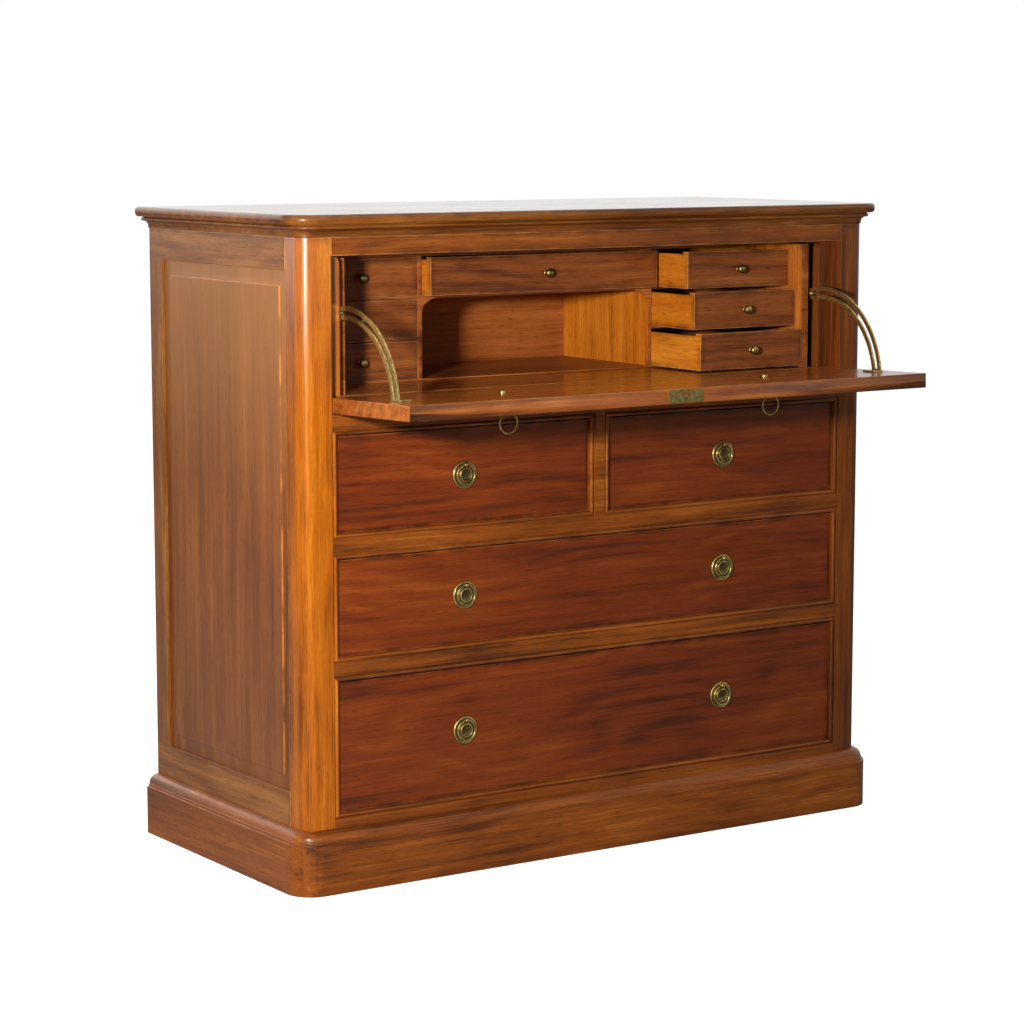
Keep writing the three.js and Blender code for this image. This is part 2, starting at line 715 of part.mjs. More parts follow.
// Quadrant stay, drawn with the fall upright: a slotted strip about the pivot, with a foot on the fall
function leftStay() {
  const face = fallInner + jointGap;
  const [inner, outer] = [stayRadius - stayWidth / 2, stayRadius + stayWidth / 2];
  const tip = studAngle - openAngle - jointGap / stayRadius;
  const tipCentre = [stayRadius * Math.cos(tip), stayRadius * Math.sin(tip)];
  const strip = outline([
    ...arc(outer, tip, Math.acos(face / outer), 18),
    ...arc(inner, Math.acos(face / inner), tip, 18),
    ...arc(stayWidth / 2, tip - Math.PI, tip, 8, tipCentre).slice(1, -1),
  ]);
  const top = studAngle + (2 * jointGap) / stayRadius;
  const topCentre = [stayRadius * Math.cos(top), stayRadius * Math.sin(top)];
  const halfSlot = staySlotWidth / 2;
  const slot = outline([
    ...arc(stayRadius + halfSlot, tip, top, 18),
    ...arc(halfSlot, top, top + Math.PI, 6, topCentre).slice(1, -1),
    ...arc(stayRadius - halfSlot, top, tip, 18),
    ...arc(halfSlot, tip - Math.PI, tip, 6, tipCentre).slice(1, -1),
  ]);
  const footMiddle = Math.sqrt(stayRadius ** 2 - face ** 2);
  const foot = block([-stayOuterX, face, footMiddle - stayFootLength / 2],
    [-stayOuterX + stayFootReach, face + stayFootThickness, footMiddle + stayFootLength / 2]);
  const slotTool = alongX(slot, -stayOuterX - overrun, -stayInnerX + overrun);
  return toGeometry(carve(toSolid(alongX(strip, -stayOuterX, -stayInnerX)), slotTool).add(toSolid(foot)));
}

// Stud on the stop strip: a shank through the stay's slot and a ball head inside it
function leftStud() {
  const seat = -stripInner - studSocket;
  const neck = Math.asin(studRadius / studHeadRadius);
  const middle = -stayInnerX + studHeadGap + studHeadRadius * Math.cos(neck);
  const profile = [[0, seat], [studRadius, seat]];
  for (let i = 0; i <= 6; i++) {
    const turn = neck + ((Math.PI - neck) * i) / 6;
    profile.push([i === 6 ? 0 : studHeadRadius * Math.sin(turn), middle - studHeadRadius * Math.cos(turn)]);
  }
  return turnedToX(turned(profile, 12)).translate(0, studY, studZ);
}

// Rosette with its eye, and the bolt and nut that hold it. The face that it seats on is y = 0.
function rosette(thickness) {
  const rimInner = rosetteRadius - rosetteRimWidth;
  const collarInner = rosetteCollarRadius - rosetteCollarWidth;
  const softShare = 0.86;
  const back = thickness + jointGap;
  const body = turned([[0, back + nutHeight], [nutRadius / 2, back + nutHeight], [nutRadius, back + nutHeight / 2],
    [nutRadius, back], [boltRadius, back], [boltRadius, -jointGap], [rosetteRadius, -jointGap],
    [rosetteRadius, -rosetteEdge], [(rosetteRadius + rimInner) / 2, -rosetteRim], [rimInner, -rosetteGroove],
    [rosetteCollarRadius, -rosetteGroove], [rosetteCollarRadius, -rosetteCollarHeight * softShare],
    [(rosetteCollarRadius + collarInner) / 2, -rosetteCollarHeight], [collarInner, -rosetteCollarHeight * softShare],
    [collarInner / 2, -rosetteDish], [0, -rosetteDish]], 16);
  const halfEye = eyeWidth / 2;
  const barrel = turnedToX(rod(eyeRadius, -halfEye, halfEye, 12)).translate(0, -eyeHeight, ringRadius);
  const stem = block([-halfEye, -eyeHeight, ringRadius - eyeBore], [halfEye, -rosetteGroove / 2, ringRadius + eyeBore]);
  const bore = turnedToX(rod(eyeBore, -eyeWidth, eyeWidth, 12)).translate(0, -eyeHeight, ringRadius);
  return toGeometry(carve(join(body, barrel, stem), bore));
}

// Ring hanging from its eye, which is at the ring group's origin
function ring() {
  return new THREE.TorusGeometry(ringRadius, ringWire, 6, 20).rotateX(Math.PI / 2).translate(0, 0, -ringRadius);
}

// Main drawer in two pieces: a front and a box whose sides are dovetailed into it.
// The front's outer face is y = 0 and the drawer's foot is z = 0.
function mainDrawer(width, high, handles) {
  const half = width / 2;
  const length = backFace - drawerRearClearance - drawerRecess;
  const boxHead = high - drawerHeadDrop;
  const back = drawerFrontThickness;
  const count = Math.round(boxHead / tailPitch);
  const tails = [];
  const sockets = [];
  for (let i = 0; i < count; i++) {
    const z = (boxHead * (i + 1 / 2)) / count;
    const tip = back - tailLength;
    const tail = outline([[back + jointGap + lap, z - tailRoot / 2], [back + jointGap + lap, z + tailRoot / 2],
      [back, z + tailRoot / 2], [tip, z + tailTip / 2], [tip, z - tailTip / 2], [back, z - tailRoot / 2]]);
    const [root, wide] = [tailRoot / 2 + jointGap, tailTip / 2 + jointGap];
    const socket = outline([[back + overrun, z - root], [back + overrun, z + root], [back, z + root],
      [tip - jointGap, z + wide], [tip - jointGap, z - wide], [back, z - root]]);
    for (const side of [-1, 1]) {
      const edges = [side * half, side * (half - drawerWall)].sort((a, b) => a - b);
      const open = [side * (half + overrun), side * (half - drawerWall - jointGap)].sort((a, b) => a - b);
      tails.push(alongX(tail, ...edges));
      sockets.push(alongX(socket, ...open));
    }
  }
  const bolts = handles.map(([x, z]) => rod(boltRadius + boltClearance, -overrun, back + overrun, 12).translate(x, 0, z));
  const front = carve(toSolid(block([-half, 0, 0], [half, back, high])), sockets, bolts);
  const near = back + jointGap;
  const box = join(
    block([-half, near, 0], [-half + drawerWall, length, boxHead]),
    block([half - drawerWall, near, 0], [half, length, boxHead]),
    block([-half + lap, length - drawerWall, drawerBottomRise], [half - lap, length, boxHead]),
    block([-half + lap, near, drawerBottomRise], [half - lap, length, drawerBottomRise + drawerBottom]),
    tails,
  );
  return { front: toGeometry(front), box: toGeometry(box) };
}

// Interior drawer in one piece, with the hole for its knob's spigot
function innerDrawer(width) {
  const half = width / 2;
  const high = cellHeight - innerFootClearance - innerHeadClearance;
  const sideHead = high - innerHeadDrop;
  const body = join(
    block([-half, 0, 0], [half, innerFrontThickness, high]),
    block([-half, lap, 0], [-half + innerWall, innerLength, sideHead]),
    block([half - innerWall, lap, 0], [half, innerLength, sideHead]),
    block([-half + lap, innerLength - innerWall, innerBottomRise], [half - lap, innerLength, sideHead]),
    block([-half + lap, lap, innerBottomRise], [half - lap, innerLength - lap, innerBottomRise + innerBottom]),
  );
  const hole = rod(knobSpigotRadius + jointGap, -overrun, knobSpigotLength + jointGap, 10).translate(0, 0, high / 2);
  return toGeometry(carve(body, hole));
}

// Turned knob on a face at y = 0
function knob() {
  const neckShare = 0.3;
  const bellyShare = 0.62;
  const crownShare = 0.88;
  return turned([[0, knobSpigotLength], [knobSpigotRadius, knobSpigotLength], [knobSpigotRadius, -jointGap],
    [knobBaseRadius, -jointGap], [knobBaseRadius, -knobBaseHeight], [knobNeckRadius, -knobLength * neckShare],
    [knobRadius, -knobLength * bellyShare], [knobRadius * crownShare, -knobLength * crownShare],
    [knobRadius / 2, -knobLength], [0, -knobLength]], 12);
}

// Interior case: a box open at the front, whose sides run on to line the opening
const cellFoot = (row) => caseFoot + caseFloor + row * (cellHeight + caseShelf);
const cellBack = caseFront + caseDepth - caseBack;
const cellCeiling = cellFoot(2) + cellHeight;
const shelfFoot = cellFoot(2) - caseShelf;
const halfCentre = centreWidth / 2;

function interiorCase() {
  const half = caseWidth / 2;
  const back = cellBack + caseBack;
  const head = cellCeiling + caseWall;
  const clear = halfCentre - jointGap;
  const pigeonholeBack = back - pigeonholeRear;
  return toGeometry(join(
    block([-half, caseFront, caseFoot], [half, back, cellFoot(0)]),
    block([-half, caseFront, cellCeiling], [half, back, head]),
    block([-half, liningFront, caseFoot], [caseSide - half, back, head]),
    block([half - caseSide, liningFront, caseFoot], [half, back, head]),
    block([-half, cellBack, caseFoot], [half, back, head]),
    block([-clear, pigeonholeBack, caseFoot], [clear, pigeonholeBack + caseBack, shelfFoot - jointGap]),
  ));
}

// Partitions with the banks' shelves housed in them, and the arched shelf over the pigeonhole
function caseDividers() {
  const rear = cellBack - jointGap;
  const parts = [block([-halfCentre - lap, caseFront, shelfFoot], [halfCentre + lap, rear, cellFoot(2)])];
  for (const side of [-1, 1]) {
    const slab = (near, far, z0, z1) => {
      const [low, high] = [side * near, side * far].sort((a, b) => a - b);
      parts.push(block([low, caseFront, z0], [high, rear, z1]));
    };
    slab(halfCentre, halfCentre + casePartition, cellFoot(0) + jointGap, cellCeiling - jointGap);
    for (const row of [1, 2]) {
      slab(halfCentre + lap, caseWidth / 2 - caseSide - jointGap, cellFoot(row) - caseShelf, cellFoot(row));
    }
    const corner = [side * (halfCentre - bracketWidth), shelfFoot - bracketHeight];
    const curve = Array.from({ length: 9 }, (_, i) => {
      const turn = (i / 8) * Math.PI / 2;
      return [corner[0] + side * bracketWidth * Math.cos(turn), corner[1] + bracketHeight * Math.sin(turn)];
    });
    const bracket = outline([...curve, [corner[0], shelfFoot + lap], [side * (halfCentre + lap), shelfFoot + lap],
      [side * (halfCentre + lap), corner[1]]]);
    parts.push(alongY(bracket, caseFront, caseFront + bracketThickness));
  }
  return toGeometry(join(parts));
}

// Assembly
const root = new THREE.Group();
root.add(piece('top_board', topBoard(), frameWood()));
root.add(piece('plinth', plinth(), frameWood()));
root.add(...pair('post', leftPost(), frameWood));
root.add(...pair('side_frame', leftSideFrame(), frameWood));
root.add(...pair('side_panel', leftSidePanel(), panelWood));
root.add(piece('back_panel', backPanel(), innerWood()));
root.add(piece('top_rail', topRail(), frameWood()));
root.add(piece('fall_rail', fallRail(), frameWood()));
root.add(piece('upper_rail', upperRail(), frameWood()));
root.add(piece('lower_rail', lowerRail(), frameWood()));
root.add(piece('writing_deck', writingDeck(), frontWood()));
root.add(piece('interior_case', interiorCase(), innerWood()));
root.add(piece('case_dividers', caseDividers(), innerWood()));
root.add(...pair('stay_stud', leftStud(), agedBrass));

// Ring pull with its eye at the group's origin
function hangRing(name, place) {
  const hanging = new THREE.Group();
  hanging.position.copy(place);
  hanging.add(piece(name, ring(), agedBrass()));
  return hanging;
}

function hangFall() {
  const fall = new THREE.Group();
  fall.position.set(0, pivotY, pivotZ);
  fall.rotation.x = openAngle;
  fall.add(piece('fall_board', fallBoard(), frontWood()));
  fall.add(piece('lock_plate', lockPlate(), agedBrass()));
  fall.add(...pair('stay', leftStay(), agedBrass));
  for (const [side, x] of [['left', -handleX], ['right', handleX]]) {
    const mount = piece(`${side}_fall_rosette`, rosette(fallThickness), agedBrass());
    mount.position.set(x, -pivotInset, fallHandleRise);
    const eye = new THREE.Vector3(x, -pivotInset - eyeHeight, fallHandleRise + ringRadius);
    const hanging = hangRing(`${side}_fall_ring`, eye);
    hanging.rotation.x = -openAngle;
    fall.add(mount, hanging);
  }
  return fall;
}
root.add(hangFall());

// Lowest point of the rings that hang under the open fall
const eyeOut = pivotInset + eyeHeight;
const eyeUp = fallHandleRise + ringRadius;
const fallRingFoot = pivotZ - eyeOut * Math.sin(openAngle) + eyeUp * Math.cos(openAngle) - 2 * ringRadius - ringWire;

function placeDrawer(name, [x0, x1], [z0, z1], sides) {
  const head = Math.min(z1 - band - drawerHeadClearance, fallRingFoot - ringClearance);
  const foot = z0 + band + jointGap;
  const middle = (x0 + x1) / 2;
  const width = x1 - x0 - 2 * drawerSideClearance;
  const handles = sides.map((side) => [side * handleX - middle, (z0 + z1) / 2 - foot]);
  const { front, box } = mainDrawer(width, head - foot, handles);
  const drawer = new THREE.Group();
  drawer.position.set(middle, drawerRecess, foot);
  drawer.add(piece(`${name}_drawer_front`, front, frontWood()));
  drawer.add(piece(`${name}_drawer_box`, box, innerWood()));
  handles.forEach(([x, z], i) => {
    const label = sides.length > 1 ? `${name}_${sides[i] < 0 ? 'left' : 'right'}` : name;
    const mount = piece(`${label}_rosette`, rosette(drawerFrontThickness), agedBrass());
    mount.position.set(x, 0, z);
    drawer.add(mount, hangRing(`${label}_ring`, new THREE.Vector3(x, -eyeHeight, z + ringRadius)));
  });
  return drawer;
}

const wideSpan = halfOpening - band;
const muntinSpan = halfMuntin + band;
root.add(placeDrawer('upper_left', [-wideSpan, -muntinSpan], [row1Foot, row1Head], [-1]));
root.add(placeDrawer('upper_right', [muntinSpan, wideSpan], [row1Foot, row1Head], [1]));
root.add(placeDrawer('middle', [-wideSpan, wideSpan], [row2Foot, row2Head], [-1, 1]));
root.add(placeDrawer('lower', [-wideSpan, wideSpan], [row3Foot, row3Head], [-1, 1]));

function placeInner(name, middle, width, row, pull) {
  const drawer = new THREE.Group();
  drawer.position.set(middle, caseFront - pull, cellFoot(row) + innerFootClearance);
  drawer.add(piece(`${name}_drawer`, innerDrawer(width - 2 * innerSideClearance), innerWood()));
  const handle = piece(`${name}_knob`, knob(), agedBrass());
  handle.position.z = (cellHeight - innerFootClearance - innerHeadClearance) / 2;
  drawer.add(handle);
  return drawer;
}

const bankInner = centreWidth / 2 + casePartition;
const bankOuter = caseWidth / 2 - caseSide;
const bankMiddle = (bankInner + bankOuter) / 2;
const bankWidth = bankOuter - bankInner;
const levels = ['bottom', 'middle', 'top'];
const rightPulls = [rightBottomPull, rightMiddlePull, rightTopPull];
levels.forEach((level, row) => {
  root.add(placeInner(`inner_left_${level}`, -bankMiddle, bankWidth, row, 0));
  root.add(placeInner(`inner_right_${level}`, bankMiddle, bankWidth, row, rightPulls[row]));
});
root.add(placeInner('inner_centre', 0, centreWidth, 2, centrePull));

export default root;
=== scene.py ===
import json
import math

import bpy
from mathutils import Matrix, Vector

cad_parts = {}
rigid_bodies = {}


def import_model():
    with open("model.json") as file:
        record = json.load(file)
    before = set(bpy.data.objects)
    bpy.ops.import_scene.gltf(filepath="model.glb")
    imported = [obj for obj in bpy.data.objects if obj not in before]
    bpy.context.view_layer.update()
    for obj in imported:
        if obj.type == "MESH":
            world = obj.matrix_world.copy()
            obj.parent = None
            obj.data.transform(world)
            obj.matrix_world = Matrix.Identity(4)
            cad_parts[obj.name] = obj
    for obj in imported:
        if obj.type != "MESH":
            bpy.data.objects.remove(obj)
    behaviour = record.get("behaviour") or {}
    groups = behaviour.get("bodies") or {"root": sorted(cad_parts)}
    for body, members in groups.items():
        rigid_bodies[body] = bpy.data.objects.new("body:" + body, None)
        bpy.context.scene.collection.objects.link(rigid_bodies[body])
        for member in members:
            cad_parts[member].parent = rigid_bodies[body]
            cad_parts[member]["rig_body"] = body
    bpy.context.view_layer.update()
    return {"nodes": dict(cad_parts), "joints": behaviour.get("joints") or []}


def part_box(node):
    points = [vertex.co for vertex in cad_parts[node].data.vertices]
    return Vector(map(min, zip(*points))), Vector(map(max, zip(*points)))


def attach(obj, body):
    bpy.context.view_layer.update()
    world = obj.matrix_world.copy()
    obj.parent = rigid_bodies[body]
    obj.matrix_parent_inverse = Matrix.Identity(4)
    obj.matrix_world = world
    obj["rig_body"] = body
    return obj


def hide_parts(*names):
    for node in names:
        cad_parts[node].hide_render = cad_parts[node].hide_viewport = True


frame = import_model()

bl_info = {
    "name": "Secretaire chest",
    "version": (1, 0, 0),
    "blender": (4, 5, 0),
    "location": "3D View > Sidebar > Secretaire",
    "description": "Dresses the frame of a secretaire chest with polished wood and aged brass",
    "category": "Object",
}

MM = 0.001
SIDES = (("left", -1), ("right", 1))


# --- Material nodes -------------------------------------------------------


def paint(code):
    """Linear colour of a six-letter screen colour."""
    parts = [int(code[i : i + 2], 16) / 255 for i in (0, 2, 4)]
    return [v / 12.92 if v <= 0.04045 else ((v + 0.055) / 1.055) ** 2.4 for v in parts]


class Wire:
    """A node's output, on which sums are written as Python expressions."""

    def __init__(self, finish, socket):
        self.finish = finish
        self.socket = socket

    def maths(self, operation, first, second=None):
        sockets = {0: first} if second is None else {0: first, 1: second}
        return self.finish.node("ShaderNodeMath", {"operation": operation}, sockets)

    def __add__(self, other):
        return self.maths("ADD", self, other)

    def __sub__(self, other):
        return self.maths("SUBTRACT", self, other)

    def __rsub__(self, other):
        return self.maths("SUBTRACT", other, self)

    def __mul__(self, other):
        return self.maths("MULTIPLY", self, other)

    def __pow__(self, other):
        return self.maths("POWER", self, other)

    def __abs__(self):
        return self.maths("ABSOLUTE", self)

    def least(self, other):
        return self.maths("MINIMUM", self, other)

    def most(self, other):
        return self.maths("MAXIMUM", self, other)

    def sine(self):
        return self.maths("SINE", self)

    def clamped(self):
        return self.least(1.0).most(0.0)

    def ramp(self, low, high):
        """0 at low and 1 at high, eased; low may be the larger."""
        lower, upper = min(low, high), max(low, high)
        ends = (0.0, 1.0) if low < high else (1.0, 0.0)
        return self.finish.node(
            "ShaderNodeMapRange",
            {"interpolation_type": "SMOOTHSTEP"},
            {0: self, 1: lower, 2: upper, 3: ends[0], 4: ends[1]},
        )


class Finish:
    """One material, built round a Principled shader."""

    def __init__(self, name):
        self.material = bpy.data.materials.new(name)
        self.material.use_nodes = True
        self.tree = self.material.node_tree
        self.shader = self.tree.nodes["Principled BSDF"]
        self.place = self.node("ShaderNodeTexCoord", output="Object")

    def node(self, kind, settings=None, sockets=None, output=0):
        made = self.tree.nodes.new(kind)
        for key, value in (settings or {}).items():
            setattr(made, key, value)
        for key, value in (sockets or {}).items():
            self.feed(made.inputs[key], value)
        return Wire(self, made.outputs[output])

    def feed(self, socket, value):
        if isinstance(value, Wire):
            self.tree.links.new(value.socket, socket)
        elif hasattr(value, "__len__") and len(socket.default_value) == 4:
            socket.default_value = [*value, 1.0]
        else:
            socket.default_value = value

    def axes(self):
        parts = self.node("ShaderNodeSeparateXYZ", {}, {0: self.place})
        outputs = parts.socket.node.outputs
        return [Wire(self, outputs[i]) for i in range(3)]

    def point(self, x, y, z):
        return self.node("ShaderNodeCombineXYZ", {}, {0: x, 1: y, 2: z})

    def facing(self, axis):
        """The part of the surface's normal along axis 0, 1 or 2."""
        normal = self.node("ShaderNodeNewGeometry", output=1)
        return self.node("ShaderNodeSeparateXYZ", {}, {0: normal}, output=axis)

    def noise(self, where, scale, detail=2.0, roughness=0.5):
        return self.node(
            "ShaderNodeTexNoise",
            {"noise_type": "FBM"},
            {"Vector": where, "Scale": scale, "Detail": detail, "Roughness": roughness},
        )

    def blend(self, share, first, second):
        return self.node(
            "ShaderNodeMix",
            {"data_type": "RGBA", "clamp_factor": True},
            {0: share, 6: first, 7: second},
            output=2,
        )

    def bump(self, height, distance, strength):
        relief = self.node(
            "ShaderNodeBump", {}, {"Strength": strength, "Distance": distance, "Height": height}
        )
        self.set("Normal", relief)

    def set(self, socket, value):
        self.feed(self.shader.inputs[socket], value)


class Timber:
    """Colours and gloss of one kind of board."""

    def __init__(
        self,
        dark,
        middle,
        light,
        worn,
        gloss,
        coat,
        blur=0.08,
        figure=0.5,
        waver=0.03,
        stain=0.5,
        glaze=0.5,
        top_gloss=0.0,
        high_gloss=0.0,
        field=0.0,
        painted_sheen=None,
    ):
        self.dark = paint(dark)
        self.middle = paint(middle)
        self.light = paint(light)
        self.worn = paint(worn)
        self.gloss = gloss
        self.coat = coat
        self.blur = blur
        self.figure = figure
        self.waver = waver
        self.stain = stain
        self.glaze = glaze
        self.top_gloss = top_gloss
        self.high_gloss = high_gloss
        self.field = field
        self.painted_sheen = painted_sheen and paint(painted_sheen)


def edge_gap(axes, low, high):
    """Distance from the nearest edge of a board's box, in metres, for a point on one of its faces."""
    a, b, c = (
        (axis - low[i]).most(0.0).least((high[i] - axis).most(0.0)) for i, axis in enumerate(axes)
    )
    return a.least(b).most(a.most(b).least(c))


# Figure of the wood, in waves per metre: along the grain, then across it
WAVER_SCALE = (1.6, 5.0)
SWAY_SCALE = (6.0, 16.0)
STREAK_SCALE = (1.7, 62.0)
FIBRE_SCALE = (16.0, 520.0)
PORE_SCALE = (55.0, 900.0)
CLOUD_SCALE = (2.6, 7.0)
PATCH_SCALE = (4.0, 14.0)
RUB_SCALE = 22.0
SMEAR_SCALE = 7.0
SWAY_REACH = 0.007
WAVER_DEPTH = 0.03
RING_WIDTH = 9 * MM
HEART_SQUARED = 0.0004  # blunts the rings at their middle, in square metres
RING_FLATNESS = 9.0  # squared ratio of the rings' width to their depth

# Steps that take each board to its own place in the figure: along, into and across the grain
SEED_STEPS = (3.7, 1.3, 0.71)
NEXT_BOARD = 1.37  # seed from one board of a group to the next

# Where a stile meets a rail
JOINT_WIDTH = 0.2 * MM
JOINT_TONE = 0.3

# Wear: old glaze left along the edges, and arrises rubbed light; and a painted highlight along the raised field
# of a panel
GLAZE_REACH = 14 * MM
GLAZE_SHARE = 0.35  # of a board's least measure, where that is less
GLAZE_EDGE = 1.5 * MM
RUB_WAVE = 1.8 * MM
RUB_OUTER = 2.3 * MM
RUB_INNER = 1.0 * MM
RUB_STRENGTH = 0.55
# Painted highlight: a light line where a panel's raised field meets its bevel, as where the light catches it
HIGHLIGHT_RIM_OUTER = 1.6 * MM
HIGHLIGHT_RIM_INNER = 0.5 * MM
HIGHLIGHT_RIM_STRENGTH = 0.42
PORE_DARKNESS = 0.45
GLAZE_DARKNESS = 0.5

# Heights, in metres, over which painted sheen makes the side panels paler towards the top, painted shade makes
# them darker towards the bottom, and the post's polish rises
PAINTED_SHEEN_HEIGHTS = (0.5, 0.95)
PAINTED_SHADE_HEIGHTS = (0.6, 0.15)
POLISH_HEIGHTS = (0.72, 0.96)
LINING_FACE = 452.8 * MM  # distance of the linings' inner faces from the middle

WOOD_SPECULAR = 0.3
WOOD_REFLECTION = [1.0, 0.82, 0.62]
GRAIN_DEPTH = 0.12 * MM


def shaded(colour, share):
    return [v * share for v in colour]


def board_axes(finish, axes, grain, rails, sideways):
    """Places along, into and across the grain, the joints' tone, and the share that looks left or right."""
    order = {"X": (0, 1, 2), "Y": (1, 2, 0), "Z": (2, 1, 0)}
    if rails:
        foot, head = rails
        standing = axes[2].ramp(foot, foot + JOINT_WIDTH) * axes[2].ramp(head, head - JOINT_WIDTH)
        run = axes[1] + (axes[2] - axes[1]) * standing
        across = axes[2] + (axes[1] - axes[2]) * standing
        joint = finish.noise(finish.point(standing * 5.0, 0.0, 0.0), 3.0) * JOINT_TONE
        return (run, axes[0], across), joint, None
    if sideways:
        turned_away = abs(finish.facing(0)).ramp(0.68, 0.73)
        pairs = zip((axes[i] for i in order[grain]), (axes[i] for i in order[sideways]))
        return [first + (second - first) * turned_away for first, second in pairs], 0.0, turned_away
    return [axes[i] for i in order[grain]], 0.0, None


def wood(name, timber, grain, low, high, seed, rails=None, sideways=None, side_timber=None):
    """Polished board whose grain runs along axis `grain`, along Y below and above the heights of `rails`,
    or along axis `sideways` on faces that look left or right."""
    finish = Finish(name)
    axes = finish.axes()
    places, joint, turned_away = board_axes(finish, axes, grain, rails, sideways)
    palette = [timber.dark, timber.middle, timber.light]
    if side_timber:
        others = (side_timber.dark, side_timber.middle, side_timber.light)
        within = turned_away * abs(axes[0]).ramp(LINING_FACE, LINING_FACE - 0.4 * MM)
        palette = [finish.blend(within, one, other) for one, other in zip(palette, others)]
    run, deep, face = (place + seed * step for place, step in zip(places, SEED_STEPS))

    def grained(scale, first, second, detail, roughness):
        where = finish.point(run * scale[0], first * scale[1], second * scale[1])
        return finish.noise(where, 1.0, detail, roughness)

    # Slow waver of the grain, then flattened growth rings, streaks, fibres, pores and clouds
    waver = grained(WAVER_SCALE, deep, face, 2.0, 0.55) - 0.5
    sway = grained(SWAY_SCALE, deep, face, 3.0, 0.6) - 0.5
    across = face + waver * timber.waver + sway * SWAY_REACH
    depth = deep + waver * WAVER_DEPTH
    radius = (across * across + depth * depth * RING_FLATNESS + HEART_SQUARED) ** 0.5
    rings = (radius * (2 * math.pi / RING_WIDTH)).sine() * 0.5 + 0.5
    streak = grained(STREAK_SCALE, across, depth, 5.0, 0.68)
    fibre = grained(FIBRE_SCALE, face, deep, 3.0, 0.7)
    pore = grained(PORE_SCALE, face, deep, 1.0, 0.5).ramp(0.60, 0.72)
    cloud = grained(CLOUD_SCALE, deep, face, 3.0, 0.55)
    tone = streak * 1.1 + rings * timber.figure * 0.14 + (fibre - 0.5) * 0.5 + (cloud - 0.5) * 0.7 + joint - 0.1
    colour = finish.blend(tone.ramp(0.16, 0.52), palette[0], palette[1])
    colour = finish.blend(tone.ramp(0.46, 0.86), colour, palette[2])
    patch = grained(PATCH_SCALE, deep, face, 5.0, 0.66).ramp(0.56, 0.72)
    colour = finish.blend(patch * timber.stain, colour, timber.dark)
    colour = finish.blend(pore * 0.5, colour, shaded(timber.dark, PORE_DARKNESS))
    # Painted sheen and painted shade on the side panels: paler and greyer towards the top, darker towards the
    # bottom
    if timber.painted_sheen:
        colour = finish.blend(axes[2].ramp(*PAINTED_SHEEN_HEIGHTS) * 0.45, colour, timber.painted_sheen)
        colour = finish.blend(axes[2].ramp(*PAINTED_SHADE_HEIGHTS) * 0.3, colour, timber.dark)
    gap = edge_gap(axes, low, high)
    rub = finish.noise(finish.place, RUB_SCALE, 3.0, 0.6)
    reach = min(GLAZE_REACH, GLAZE_SHARE * min(b - a for a, b in zip(low, high)))
    dirt = gap.ramp(reach, GLAZE_EDGE) * rub.ramp(0.34, 0.66) * timber.glaze
    colour = finish.blend(dirt, colour, shaded(timber.dark, GLAZE_DARKNESS))
    bare = (gap + rub * RUB_WAVE).ramp(RUB_OUTER, RUB_INNER)
    colour = finish.blend(bare * RUB_STRENGTH, colour, timber.worn)
    # Painted highlight along the edge of the panel's raised field
    if timber.field:
        painted_rim_highlight = abs(gap - timber.field).ramp(HIGHLIGHT_RIM_OUTER, HIGHLIGHT_RIM_INNER) * rub.ramp(0.34, 0.6)
        colour = finish.blend(painted_rim_highlight * HIGHLIGHT_RIM_STRENGTH, colour, timber.worn)
    finish.set("Base Color", colour)
    smear = finish.noise(finish.place, SMEAR_SCALE, 3.0, 0.6)
    sheen = (smear - 0.5) * 0.22 + (fibre - 0.5) * 0.16 + pore * 0.16 + bare * 0.1 + timber.gloss
    if timber.top_gloss:
        flat = finish.facing(2).ramp(0.97, 0.995)
        finish.set("Coat Weight", flat * timber.top_gloss + timber.coat)
        finish.set("Roughness", (sheen - flat * 0.16).clamped())
    else:
        finish.set("Coat Weight", axes[2].ramp(*POLISH_HEIGHTS) * timber.high_gloss + timber.coat)
        finish.set("Roughness", sheen.clamped())
    finish.set("Coat Roughness", timber.blur)
    finish.set("Specular IOR Level", WOOD_SPECULAR)
    finish.set("Specular Tint", WOOD_REFLECTION)
    finish.bump(fibre * 0.35 - pore * 0.7 + streak * 0.5, GRAIN_DEPTH, 0.55)
    return finish.material


BRASS_BRIGHT = paint("b09a60")
BRASS_DULL = paint("74663a")
BRASS_DEEP = paint("2c2412")
BRASS_DISH = paint("34301c")
TARNISH_SCALE = 150.0
SPECK_SCALE = 900.0
SCUFF_SCALE = 2400.0
SCUFF_DEPTH = 0.03 * MM


def brass(name, tone=1.0, dish=None):
    """Old brass: rubbed bright in places, olive-brown where polish and dirt have stayed.

    `dish` is the middle and the radius of a hollow in which it has gone dark."""
    finish = Finish(name)
    tarnish = finish.noise(finish.place, TARNISH_SCALE, 4.0, 0.62).ramp(0.34, 0.68)
    speck = finish.noise(finish.place, SPECK_SCALE, 2.0, 0.6).ramp(0.55, 0.7)
    scuff = finish.noise(finish.place, SCUFF_SCALE, 2.0, 0.7)
    colour = finish.blend(tarnish, shaded(BRASS_BRIGHT, tone), shaded(BRASS_DULL, tone))
    colour = finish.blend(speck * 0.5, colour, BRASS_DEEP)
    if dish:
        middle, reach = dish
        x, _, z = finish.axes()
        x, z = x - middle.x, z - middle.z
        out = (x * x + z * z) ** 0.5
        colour = finish.blend(out.ramp(reach * 1.1, reach * 0.85) * 0.8, colour, BRASS_DISH)
    finish.set("Base Color", colour)
    finish.set("Metallic", 1.0 - speck * 0.35)
    finish.set("Roughness", (tarnish * 0.2 + speck * 0.2 + (scuff - 0.5) * 0.12 + 0.26).clamped())
    finish.bump(scuff * 0.5 + tarnish, SCUFF_DEPTH, 0.5)
    return finish.material


# --- Modelling steps ------------------------------------------------------


